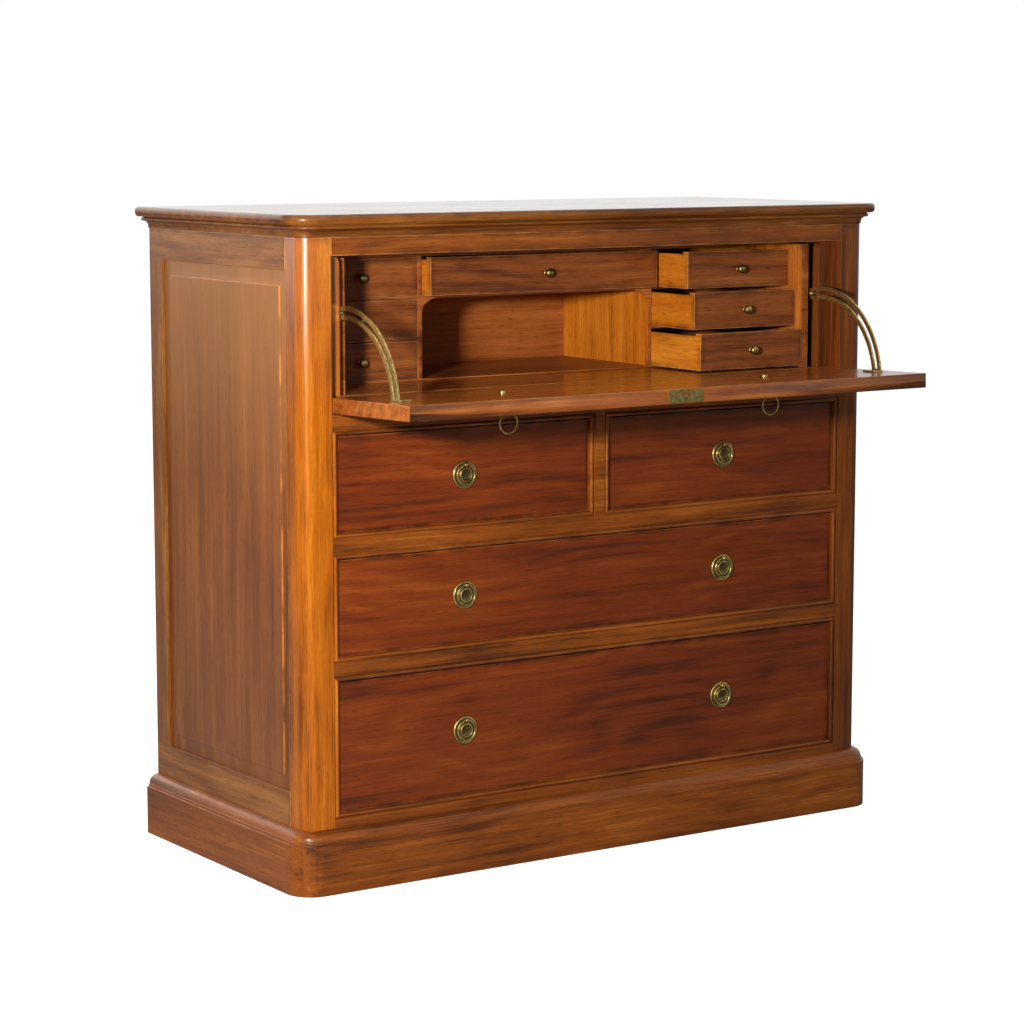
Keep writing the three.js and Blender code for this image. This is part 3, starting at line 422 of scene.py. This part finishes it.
def deselect():
    if bpy.context.object and bpy.context.object.mode != "OBJECT":
        bpy.ops.object.mode_set(mode="OBJECT")
    bpy.ops.object.select_all(action="DESELECT")


def take(obj):
    deselect()
    obj.select_set(True)
    bpy.context.view_layer.objects.active = obj
    return obj


def edit(obj):
    take(obj)
    bpy.ops.object.mode_set(mode="EDIT")


def pick(obj, test):
    """Selects the faces of the mesh in edit mode whose middle passes a test."""
    bpy.ops.object.mode_set(mode="OBJECT")
    mesh = obj.data
    for group in (mesh.vertices, mesh.edges, mesh.polygons):
        group.foreach_set("select", [False] * len(group))
    for face in mesh.polygons:
        face.select = test(face.center)
    bpy.ops.object.mode_set(mode="EDIT")
    bpy.ops.mesh.select_mode(type="FACE")


def modify(obj, kind, **settings):
    """Adds a modifier, sets it and applies it."""
    take(obj)
    bpy.ops.object.modifier_add(type=kind)
    modifier = obj.modifiers[-1]
    for key, value in settings.items():
        setattr(modifier, key, value)
    bpy.ops.object.modifier_apply(modifier=modifier.name)


def settle(obj, name, smooth=32):
    """Names a finished piece, brings its place into its mesh and smooths its shallow edges."""
    take(obj)
    bpy.ops.object.transform_apply(location=True, rotation=True, scale=True)
    bpy.ops.object.shade_smooth_by_angle(angle=math.radians(smooth))
    obj.name = name
    obj.data.name = name
    return obj


def finished(obj, material, body, node):
    """Gives a piece its material, hangs it on its body and hides the node that it stands for."""
    obj.data.materials.clear()
    obj.data.materials.append(material)
    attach(obj, body)
    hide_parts(node)


def copied(obj, name, shift):
    """A copy with its own mesh, moved by a vector."""
    take(obj)
    bpy.ops.object.duplicate(linked=False)
    copy = bpy.context.object
    bpy.ops.transform.translate(value=shift)
    return settle(copy, name)


def block(low, high):
    deselect()
    middle = [(a + b) / 2 for a, b in zip(low, high)]
    bpy.ops.mesh.primitive_cube_add(size=1, location=middle, scale=[b - a for a, b in zip(low, high)])
    return bpy.context.object


def combine(obj, tool, operation):
    """Joins or cuts a piece with another, which is used up."""
    modify(obj, "BOOLEAN", operation=operation, object=tool, solver="EXACT")
    deselect()
    bpy.data.objects.remove(tool)


TURNING_AXES = {
    "-Y": (Vector((0, -1, 0)), (math.pi / 2, 0, 0)),
    "X": (Vector((1, 0, 0)), (0, math.pi / 2, 0)),
    "-X": (Vector((-1, 0, 0)), (0, -math.pi / 2, 0)),
}


def turned(centre, profile, name, sides, axis="-Y"):
    """A turned piece, worked up from a disc: each step of the profile, in millimetres, is a radius
    and a height along the axis."""
    step, turn = TURNING_AXES[axis]
    centre = Vector(centre)
    profile = [(r * MM, h * MM) for r, h in profile]
    radius, height = profile[0]
    deselect()
    bpy.ops.mesh.primitive_circle_add(
        vertices=sides, radius=radius, fill_type="NGON", location=centre + step * height, rotation=turn
    )
    disc = bpy.context.object
    bpy.ops.object.transform_apply(location=True, rotation=True, scale=True)
    bpy.ops.object.mode_set(mode="EDIT")
    bpy.ops.mesh.select_mode(type="FACE")
    bpy.ops.mesh.select_all(action="SELECT")
    for next_radius, next_height in profile[1:]:
        bpy.ops.mesh.extrude_region_move(TRANSFORM_OT_translate={"value": step * (next_height - height)})
        share = next_radius / radius
        flat = [1.0 if abs(part) > 0.5 else share for part in step]
        bpy.ops.transform.resize(value=flat, center_override=centre + step * next_height)
        radius, height = next_radius, next_height
    bpy.ops.mesh.select_all(action="SELECT")
    bpy.ops.mesh.normals_make_consistent(inside=False)
    bpy.ops.object.mode_set(mode="OBJECT")
    return settle(disc, name)


MERGE_DISTANCE = 0.01 * MM
RECESS_REACH = 2 * MM

# Angles between faces, in degrees
WOOD_FLAT = 0.6  # faces within it are made one, on boards
METAL_FLAT = 0.2  # the same, on brass
SHARP_ANGLE = 38  # edges from here on lose their arris
SMOOTH_ANGLE = 50  # edges up to here are shaded smooth


def worked_copy(node, arris, flat, sunk=None):
    """A copy of a node's shell, merged, its flats made whole and its arrises taken off by a width.

    `sunk` is the box of a fitting let into it, whose recess keeps its sharp edges."""
    deselect()
    copy = frame["nodes"][node].copy()
    copy.data = copy.data.copy()
    for key in [key for key in copy.keys() if key.startswith("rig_")]:
        del copy[key]
    copy.parent = None
    copy.hide_render = copy.hide_viewport = False
    bpy.context.scene.collection.objects.link(copy)
    edit(copy)
    bpy.ops.mesh.select_all(action="SELECT")
    bpy.ops.mesh.remove_doubles(threshold=MERGE_DISTANCE)
    bpy.ops.mesh.dissolve_limited(angle_limit=math.radians(flat))
    bpy.ops.mesh.quads_convert_to_tris()
    bpy.ops.mesh.select_mode(type="EDGE")
    bpy.ops.mesh.select_all(action="DESELECT")
    bpy.ops.mesh.edges_select_sharp(sharpness=math.radians(SHARP_ANGLE))
    bpy.ops.object.mode_set(mode="OBJECT")
    mesh = copy.data
    weights = mesh.attributes.new("bevel_weight_edge", "FLOAT", "EDGE")
    for edge, weight in zip(mesh.edges, weights.data):
        middle = copy.matrix_world @ sum((mesh.vertices[i].co for i in edge.vertices), Vector()) / 2
        near = sunk and all(a - RECESS_REACH < v < b + RECESS_REACH for v, a, b in zip(middle, *sunk))
        weight.value = 1.0 if edge.select and not near else 0.0
    modify(
        copy,
        "BEVEL",
        width=arris,
        segments=2,
        limit_method="WEIGHT",
        use_clamp_overlap=False,
        miter_outer="MITER_SHARP",
    )
    settle(copy, node + "_worked", SMOOTH_ANGLE)
    modify(copy, "WEIGHTED_NORMAL", keep_sharp=True, weight=80)
    return copy


def body_of(node):
    return frame["nodes"][node]["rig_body"]


def dress(nodes, timber, grain, slot, seed, arris, sunk=None, **faces):
    """Replaces wooden nodes with worked copies in one kind of board, each with its own run of grain.

    `faces` says where the grain turns; it is passed on to the wood."""
    for count, node in enumerate(nodes):
        low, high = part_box(node)
        board = worked_copy(node, arris, WOOD_FLAT, sunk)
        material = wood(node + "_wood", timber, grain, low, high, seed + count * NEXT_BOARD, **faces)
        finished(board, material, body_of(node), node)


# --- Finishes -------------------------------------------------------------

FRAME = Timber("44200c", "7e400f", "a6621f", "d49a58", gloss=0.34, coat=0.08, stain=0.35)
SIDE = Timber("402410", "70401c", "94602e", "d49a58", gloss=0.34, coat=0.1, stain=0.35)
# Painted light: the left post's wood is painted brighter and more orange, as where the main lamp falls on it
LIT_LEFT_POST = Timber(
    "6a340c", "a2560c", "c27a18", "dca04c", gloss=0.28, coat=0.04, blur=0.26, stain=0.3, high_gloss=0.9
)
# Painted shade: the right post's wood is painted darker, as where the main lamp's light falls away
SHADED_RIGHT_POST = Timber("3c1c0c", "6e360e", "92541c", "c08848", gloss=0.34, coat=0.08, stain=0.35)
TOP = Timber("3f2010", "744218", "9a642a", "b8884c", gloss=0.34, coat=0.08, figure=0.8, top_gloss=0.45)
# The side panels carry a painted sheen towards the top, painted shade towards the bottom and a painted
# highlight along the raised field
PANEL = Timber(
    "52301c", "7c441e", "945c2e", "dc8c3c", gloss=0.36, coat=0.06, stain=0.25, field=32 * MM, painted_sheen="a47341"
)
FRONT = Timber(
    "3c180a", "6a2a0c", "823e12", "b87034", gloss=0.34, coat=0.06, figure=0.8, waver=0.05, stain=0.4, glaze=0.8
)
FALL = Timber("52240c", "8e4a1a", "b46e2a", "d8a05c", gloss=0.26, coat=0.2, figure=0.8, stain=0.3, glaze=0.15)
SMALL = Timber("4a2412", "824620", "a26434", "d0a070", gloss=0.42, coat=0.0, stain=0.3)
CASE = Timber("5a2c10", "985426", "b87034", "d8a468", gloss=0.42, coat=0.0, stain=0.3)
INNER = Timber("84420c", "be6c18", "d88c2c", "e4aa58", gloss=0.44, coat=0.0, stain=0.3)
BOARD = Timber("6a3e1a", "98622a", "b47c40", "d0a058", gloss=0.5, coat=0.0, stain=0.3)

ROW_SLIDES = ("upper_left", "upper_right", "middle", "lower")
BOX_ARRIS = 0.4 * MM
STAY_ARRIS = 0.35 * MM
LOCK_ARRIS = 0.3 * MM


def joint(name):
    return next(item for item in frame["joints"] if item["name"] == name)


def nodes_ending(end):
    return [name for name in sorted(frame["nodes"]) if name.endswith(end)]


FALL_TURN = math.radians(-joint("fall_hinge")["range_deg"][0])


# --- Sizes that a user would change ---------------------------------------


class ChestFinish(bpy.types.PropertyGroup):
    arris: bpy.props.FloatProperty(
        name="Arris",
        description="Width of the rounding on the plinth's and the fall's edges",
        default=0.9 * MM,
        unit="LENGTH",
    )
    fine_arris: bpy.props.FloatProperty(
        name="Fine arris",
        description="Width of the rounding on the other boards' edges",
        default=0.6 * MM,
        unit="LENGTH",
    )


class ChestHandles(bpy.types.PropertyGroup):
    ring_wire: bpy.props.FloatProperty(
        name="Ring wire", description="Radius of each ring's wire", default=1.5 * MM, unit="LENGTH"
    )
    ring_radius: bpy.props.FloatProperty(
        name="Ring radius",
        description="Radius of each ring to the middle of its wire",
        default=16.2 * MM,
        unit="LENGTH",
    )


class ChestStage(bpy.types.PropertyGroup):
    floor_colour: bpy.props.FloatVectorProperty(
        name="Floor", description="Colour of the floor", default=(0.5, 0.5, 0.5), subtype="COLOR", size=3
    )
    key_power: bpy.props.FloatProperty(
        name="Main lamp", description="Power of the main lamp", default=63.0, unit="POWER"
    )
    fill_strength: bpy.props.FloatProperty(
        name="Soft light", description="Strength of the light from all round", default=0.07, min=0.0
    )


LAMP_WARM = (1.0, 0.94, 0.85)
LAMP_COOL = (0.9, 0.96, 1.0)
LAMP_TARGET = Vector((0, 0.2, 0.6))  # the chest's middle
# Name, degrees from straight in front towards the left, degrees up, distance and width in metres,
# share of the main lamp's power, colour
LAMPS = (
    ("main_lamp", 48, 12.9, 2.3, 0.13, 1.0, LAMP_WARM),
    ("left_lamp", 130, 20, 3.6, 2.0, 0.42, LAMP_COOL),
    ("right_lamp", -60, 32, 4.4, 2.6, 0.08, LAMP_WARM),
    ("top_lamp", 0, 86, 3.4, 2.6, 0.4, LAMP_WARM),
    ("rear_lamp", 170, 30, 4.4, 2.6, 0.8, LAMP_WARM),
)
FLOOR_SIZE = 30
FLOOR_GLOW = 0.98  # for the camera alone
CAMERA_PLACE = (-2.7301, -3.8250, 1.1917)
CAMERA_TILT = 82.32  # degrees from straight down
CAMERA_TURN = -33.77
CAMERA_LENS = 102.33
CAMERA_SENSOR = 36


class CHEST_OT_stage(bpy.types.Operator):
    """Sets out the floor, the lamps, the soft surroundings and the camera"""

    bl_idname = "chest.stage"
    bl_label = "Stage"

    def execute(self, context):
        settings = context.scene.chest_stage
        self.lay_floor(context, settings.floor_colour)
        self.surround(context, settings.fill_strength)
        for name, azimuth, elevation, distance, size, share, colour in LAMPS:
            self.lamp(name, azimuth, elevation, distance, size, settings.key_power * share, colour)
        bpy.ops.object.camera_add(
            location=CAMERA_PLACE, rotation=(math.radians(CAMERA_TILT), 0, math.radians(CAMERA_TURN))
        )
        camera = context.object
        camera.name = "photograph_view"
        camera.data.sensor_width = CAMERA_SENSOR
        camera.data.lens = CAMERA_LENS
        context.scene.camera = camera
        context.scene.view_settings.view_transform = "Standard"
        return {"FINISHED"}

    def lay_floor(self, context, colour):
        deselect()
        bpy.ops.mesh.primitive_plane_add(size=FLOOR_SIZE, location=(0, 0, 0))
        floor = settle(context.object, "floor")
        finish = Finish("floor_paint")
        finish.set("Base Color", list(colour))
        finish.set("Roughness", 0.9)
        finish.set("Specular IOR Level", 0.1)
        seen = finish.node("ShaderNodeLightPath", output=0)
        finish.set("Emission Color", finish.blend(seen, [0.0, 0.0, 0.0], [1.0, 1.0, 1.0]))
        finish.set("Emission Strength", FLOOR_GLOW)
        floor.data.materials.append(finish.material)

    def lamp(self, name, azimuth, elevation, distance, size, power, colour):
        """A soft square lamp, turned towards the chest's middle."""
        turn, rise = math.radians(azimuth), math.radians(elevation)
        away = Vector((-math.sin(turn) * math.cos(rise), -math.cos(turn) * math.cos(rise), math.sin(rise)))
        deselect()
        bpy.ops.object.light_add(type="AREA", location=LAMP_TARGET + away * distance)
        lamp = bpy.context.object
        lamp.name = name
        lamp.rotation_euler = away.to_track_quat("Z", "Y").to_euler()
        lamp.data.shape = "SQUARE"
        lamp.data.size = size
        lamp.data.energy = power
        lamp.data.color = colour

    def surround(self, context, strength):
        """Soft light from all round, which the camera and reflections see as white."""
        world = bpy.data.worlds.new("soft_surroundings")
        context.scene.world = world
        world.use_nodes = True
        tree = world.node_tree
        tree.nodes.clear()
        path = tree.nodes.new("ShaderNodeLightPath")
        seen = path.outputs["Is Camera Ray"]
        for kind in ("Is Glossy Ray", "Is Transmission Ray"):
            either = tree.nodes.new("ShaderNodeMath")
            either.operation = "MAXIMUM"
            tree.links.new(seen, either.inputs[0])
            tree.links.new(path.outputs[kind], either.inputs[1])
            seen = either.outputs[0]
        mix = tree.nodes.new("ShaderNodeMixShader")
        output = tree.nodes.new("ShaderNodeOutputWorld")
        tree.links.new(seen, mix.inputs[0])
        for place, power in ((1, strength), (2, 1.0)):
            light = tree.nodes.new("ShaderNodeBackground")
            light.inputs["Color"].default_value = (1, 1, 1, 1)
            light.inputs["Strength"].default_value = power
            tree.links.new(light.outputs[0], mix.inputs[place])
        tree.links.new(mix.outputs[0], output.inputs[0])


class CHEST_OT_top(bpy.types.Operator):
    """Polishes the moulded top board"""

    bl_idname = "chest.top"
    bl_label = "Top"

    def execute(self, context):
        dress(["top_board"], TOP, "X", "top_wood", 3.1, context.scene.chest_finish.fine_arris)
        return {"FINISHED"}


PANEL_TONGUE = 7 * MM


class CHEST_OT_carcass(bpy.types.Operator):
    """Polishes the posts, the side frames, the rails and the plinth"""

    bl_idname = "chest.carcass"
    bl_label = "Frame"

    def execute(self, context):
        sizes = context.scene.chest_finish
        # The two posts take lit and shaded copies of one wood: painted light on the left, painted shade on the
        # right
        dress(["left_post"], LIT_LEFT_POST, "Z", "frame_wood", 5.2, sizes.fine_arris)
        dress(["right_post"], SHADED_RIGHT_POST, "Z", "frame_wood", 7.9, sizes.fine_arris)
        panel_low, panel_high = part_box("left_side_panel")
        rails = (panel_low.z + PANEL_TONGUE, panel_high.z - PANEL_TONGUE)
        names = ["left_side_frame", "right_side_frame"]
        dress(names, SIDE, "Z", "frame_wood", 9.4, sizes.fine_arris, rails=rails)
        names = ["top_rail", "fall_rail", "upper_rail", "lower_rail"]
        dress(names, FRAME, "X", "frame_wood", 14.6, sizes.fine_arris)
        dress(["plinth"], FRAME, "X", "frame_wood", 23.3, sizes.arris, sideways="Y")
        return {"FINISHED"}


class CHEST_OT_panels(bpy.types.Operator):
    """Polishes the side panels and the boards of the back"""

    bl_idname = "chest.panels"
    bl_label = "Panels"

    def execute(self, context):
        arris = context.scene.chest_finish.fine_arris
        dress(["left_side_panel", "right_side_panel"], PANEL, "Z", "panel_wood", 31.7, arris)
        dress(["back_panel"], BOARD, "Z", "inner_wood", 35.9, arris)
        return {"FINISHED"}


class CHEST_OT_interior(bpy.types.Operator):
    """Polishes the writing deck and the case with its pigeonhole"""

    bl_idname = "chest.interior"
    bl_label = "Interior"

    def execute(self, context):
        arris = context.scene.chest_finish.fine_arris
        dress(["writing_deck"], FALL, "X", "fall_wood", 41.2, arris)
        names = ["interior_case", "case_dividers"]
        dress(names, CASE, "X", "inner_wood", 43.8, arris, sideways="Z", side_timber=INNER)
        return {"FINISHED"}


class CHEST_OT_fall(bpy.types.Operator):
    """Polishes the fall front"""

    bl_idname = "chest.fall"
    bl_label = "Fall"

    def execute(self, context):
        arris = context.scene.chest_finish.arris
        dress(["fall_board"], FALL, "X", "fall_wood", 47.5, arris, sunk=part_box("lock_plate"))
        return {"FINISHED"}


class CHEST_OT_drawers(bpy.types.Operator):
    """Polishes the main drawers' fronts and finishes their boxes"""

    bl_idname = "chest.drawers"
    bl_label = "Main drawers"

    def execute(self, context):
        arris = context.scene.chest_finish.fine_arris
        dress([name + "_drawer_front" for name in ROW_SLIDES], FRONT, "X", "front_wood", 52.4, arris)
        dress([name + "_drawer_box" for name in ROW_SLIDES], BOARD, "Y", "inner_wood", 61.6, BOX_ARRIS)
        return {"FINISHED"}


class CHEST_OT_small_drawers(bpy.types.Operator):
    """Finishes the small drawers inside"""

    bl_idname = "chest.small_drawers"
    bl_label = "Small drawers"

    def execute(self, context):
        arris = context.scene.chest_finish.fine_arris
        names = [name for name in nodes_ending("_drawer") if name.startswith("inner_")]
        dress(names, SMALL, "X", "small_drawer_wood", 71.3, arris, sideways="Y", side_timber=INNER)
        return {"FINISHED"}


class CHEST_OT_knobs(bpy.types.Operator):
    """Turns one brass knob, with its spigot, and sets a copy on each small drawer"""

    bl_idname = "chest.knobs"
    bl_label = "Knobs"

    # Radius and distance from the drawer's face of each step, in millimetres; the spigot comes first
    PROFILE = (
        (2.0, -8.0), (2.0, 0.3), (5.1, 0.3), (5.2, 0.8), (4.7, 1.3), (3.7, 1.7), (3.3, 2.6), (3.9, 3.6),
        (5.6, 4.7), (7.0, 6.4), (7.6, 8.4), (7.5, 10.2), (6.7, 11.9), (5.3, 13.2), (3.6, 14.0), (1.8, 14.4),
    )
    FACETS = 40
    TONE = 0.8

    def execute(self, context):
        model = turned((0, 0, 0), self.PROFILE, "knob_model", self.FACETS)
        for node in nodes_ending("_knob"):
            low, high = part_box(node)
            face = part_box(node.replace("_knob", "_drawer"))[0].y
            knob = copied(model, node + "_turned", ((low.x + high.x) / 2, face, (low.z + high.z) / 2))
            finished(knob, brass(node + "_brass", self.TONE), body_of(node), node)
        bpy.data.objects.remove(model)
        return {"FINISHED"}


class CHEST_OT_rosettes(bpy.types.Operator):
    """Turns the ring pulls' backplates, with their bolts and eyes, and sets them on the drawers and the fall"""

    bl_idname = "chest.rosettes"
    bl_label = "Backplates"

    # Radius and distance from the board's face of each step, in millimetres
    PROFILE = (
        (2.6, 0.3), (22.3, 0.3), (22.5, 0.6), (22.5, 1.2), (22.0, 2.1), (21.2, 2.8), (20.3, 3.0), (19.5, 2.7),
        (19.0, 2.1), (17.2, 1.9), (13.0, 1.9), (12.2, 2.2), (11.8, 3.0), (11.7, 4.9), (11.3, 5.9), (10.5, 6.4),
        (9.7, 6.0), (9.2, 5.0), (8.8, 3.7), (7.6, 3.0), (5.6, 2.6), (3.0, 2.4), (1.0, 2.4),
    )
    # The nut and the bolt's end, from the board's back
    NUT = ((2.8, -3.9), (4.6, -3.7), (5.5, -2.6), (5.6, -0.5), (5.4, -0.3), (2.6, -0.3))
    EYE = ((2.9, -2.5), (3.4, -2.0), (3.4, 2.0), (2.9, 2.5))
    BORE = ((2.25, -6), (2.25, 6))
    EYE_PLACE = Vector((0, -5.0, 16.2)) * MM
    STEM_WIDTH = 4.0 * MM
    STEM_HEIGHT = 4.4 * MM
    STEM_FOOT = 1.0 * MM
    FALL_THICKNESS = 24.0  # of the board that the bolt goes through, in millimetres
    FRONT_THICKNESS = 22.0
    DISH = 9.4 * MM
    FACETS = 72
    EYE_FACETS = 32
    BORE_FACETS = 28
    SMOOTH = 35
    TONE = 1.1

    def model(self, name, thickness):
        back = [(r, h - thickness) for r, h in self.NUT]
        plate = turned((0, 0, 0), [*back, *self.PROFILE], name, self.FACETS)
        eye = turned(self.EYE_PLACE, self.EYE, "eye", self.EYE_FACETS, "X")
        _, out, up = self.EYE_PLACE
        half_width, half_height = self.STEM_WIDTH / 2, self.STEM_HEIGHT / 2
        stem = block((-half_width, out, up - half_height), (half_width, -self.STEM_FOOT, up + half_height))
        combine(plate, eye, "UNION")
        combine(plate, stem, "UNION")
        bore = turned(self.EYE_PLACE, self.BORE, "bore", self.BORE_FACETS, "X")
        combine(plate, bore, "DIFFERENCE")
        return settle(plate, name, self.SMOOTH)

    def execute(self, context):
        thicknesses = {}
        for node in nodes_ending("_rosette"):
            on_fall = "_fall_" in node
            thickness = self.FALL_THICKNESS if on_fall else self.FRONT_THICKNESS
            if thickness not in thicknesses:
                thicknesses[thickness] = self.model(f"backplate_model_{thickness:.0f}", thickness)
            turn = FALL_TURN if on_fall else 0.0
            eye = Vector(joint(node.replace("_rosette", "_ring_swing"))["pos_m"])
            take(thicknesses[thickness])
            bpy.ops.object.duplicate(linked=False)
            plate = context.object
            plate.rotation_euler = (turn, 0, 0)
            plate.location = eye - Matrix.Rotation(turn, 3, "X") @ self.EYE_PLACE
            settle(plate, node + "_turned", self.SMOOTH)
            low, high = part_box(node)
            dish = None if on_fall else ((low + high) / 2, self.DISH)
            finished(plate, brass(node + "_brass", self.TONE, dish), body_of(node), node)
        for model in thicknesses.values():
            bpy.data.objects.remove(model)
        return {"FINISHED"}


class CHEST_OT_rings(bpy.types.Operator):
    """Bends one ring and hangs a copy from each eye"""

    bl_idname = "chest.rings"
    bl_label = "Rings"

    THIN_FROM = 0.86  # of the ring's radius, up towards the eye
    THIN_BY = 0.12 * MM
    FACETS = 72
    WIRE_FACETS = 14
    SMOOTH = 60

    def execute(self, context):
        sizes = context.scene.chest_handles
        deselect()
        bpy.ops.mesh.primitive_torus_add(
            major_radius=sizes.ring_radius,
            minor_radius=sizes.ring_wire,
            major_segments=self.FACETS,
            minor_segments=self.WIRE_FACETS,
            rotation=(math.pi / 2, 0, 0),
        )
        ring = context.object
        bpy.ops.object.transform_apply(location=True, rotation=True, scale=True)
        # The wire thins where it turns in the eye
        edit(ring)
        thin_height = sizes.ring_radius * self.THIN_FROM
        pick(ring, lambda middle: middle.z > thin_height)
        bpy.ops.transform.shrink_fatten(value=-self.THIN_BY)
        model = settle(ring, "ring_model", self.SMOOTH)
        for node in nodes_ending("_ring"):
            low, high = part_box(node)
            hung = copied(model, node + "_bent", (low + high) / 2)
            finished(hung, brass(node + "_brass"), body_of(node), node)
        bpy.data.objects.remove(model)
        return {"FINISHED"}


class CHEST_OT_stays(bpy.types.Operator):
    """Finishes the slotted stays and turns the studs that they run on"""

    bl_idname = "chest.stays"
    bl_label = "Stays"

    # Radius and distance along the stud of each step, in millimetres
    STUD = (
        (3.0, 0.1), (3.0, 14.7), (4.1, 14.9), (4.6, 16.0), (4.6, 17.4),
        (4.2, 19.2), (3.3, 20.9), (2.1, 22.0), (0.8, 22.6),
    )
    FACETS = 32
    STAY_TONE = 1.25
    STUD_TONE = 1.1

    def execute(self, context):
        for side, sign in SIDES:
            node = side + "_stay"
            stay = worked_copy(node, STAY_ARRIS, METAL_FLAT)
            finished(stay, brass(node + "_brass", self.STAY_TONE), "fall", node)
            node = side + "_stay_stud"
            low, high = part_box(node)
            outer = high.x if sign > 0 else low.x
            centre = (outer, (low.y + high.y) / 2, (low.z + high.z) / 2)
            stud = turned(centre, self.STUD, node + "_turned", self.FACETS, "-X" if sign > 0 else "X")
            finished(stud, brass(node + "_brass", self.STUD_TONE), "carcass", node)
        return {"FINISHED"}


class CHEST_OT_lock(bpy.types.Operator):
    """Finishes the lock's edge plate"""

    bl_idname = "chest.lock"
    bl_label = "Lock plate"

    TONE = 0.8

    def execute(self, context):
        plate = worked_copy("lock_plate", LOCK_ARRIS, METAL_FLAT)
        finished(plate, brass("lock_plate_brass", self.TONE), "fall", "lock_plate")
        return {"FINISHED"}


STEPS = (
    CHEST_OT_stage,
    CHEST_OT_top,
    CHEST_OT_carcass,
    CHEST_OT_panels,
    CHEST_OT_interior,
    CHEST_OT_fall,
    CHEST_OT_drawers,
    CHEST_OT_small_drawers,
    CHEST_OT_knobs,
    CHEST_OT_rosettes,
    CHEST_OT_rings,
    CHEST_OT_stays,
    CHEST_OT_lock,
)


class CHEST_PT_steps(bpy.types.Panel):
    """The chest's pieces, in the order in which they are made"""

    bl_idname = "CHEST_PT_steps"
    bl_label = "Secretaire chest"
    bl_space_type = "VIEW_3D"
    bl_region_type = "UI"
    bl_category = "Secretaire"

    def draw(self, context):
        layout = self.layout
        for group, names in (
            (context.scene.chest_finish, ("arris", "fine_arris")),
            (context.scene.chest_handles, ("ring_wire", "ring_radius")),
            (context.scene.chest_stage, ("floor_colour", "key_power", "fill_strength")),
        ):
            for name in names:
                layout.prop(group, name)
        for step in STEPS:
            layout.operator(step.bl_idname)


CLASSES = (ChestFinish, ChestHandles, ChestStage, *STEPS, CHEST_PT_steps)


def register():
    for each in CLASSES:
        bpy.utils.register_class(each)
    bpy.types.Scene.chest_finish = bpy.props.PointerProperty(type=ChestFinish)
    bpy.types.Scene.chest_handles = bpy.props.PointerProperty(type=ChestHandles)
    bpy.types.Scene.chest_stage = bpy.props.PointerProperty(type=ChestStage)


def unregister():
    for name in ("chest_finish", "chest_handles", "chest_stage"):
        delattr(bpy.types.Scene, name)
    for each in reversed(CLASSES):
        bpy.utils.unregister_class(each)


def main():
    register()
    for step in STEPS:
        group, name = step.bl_idname.split(".")
        getattr(getattr(bpy.ops, group), name)()
    deselect()


if __name__ == "__main__":
    main()
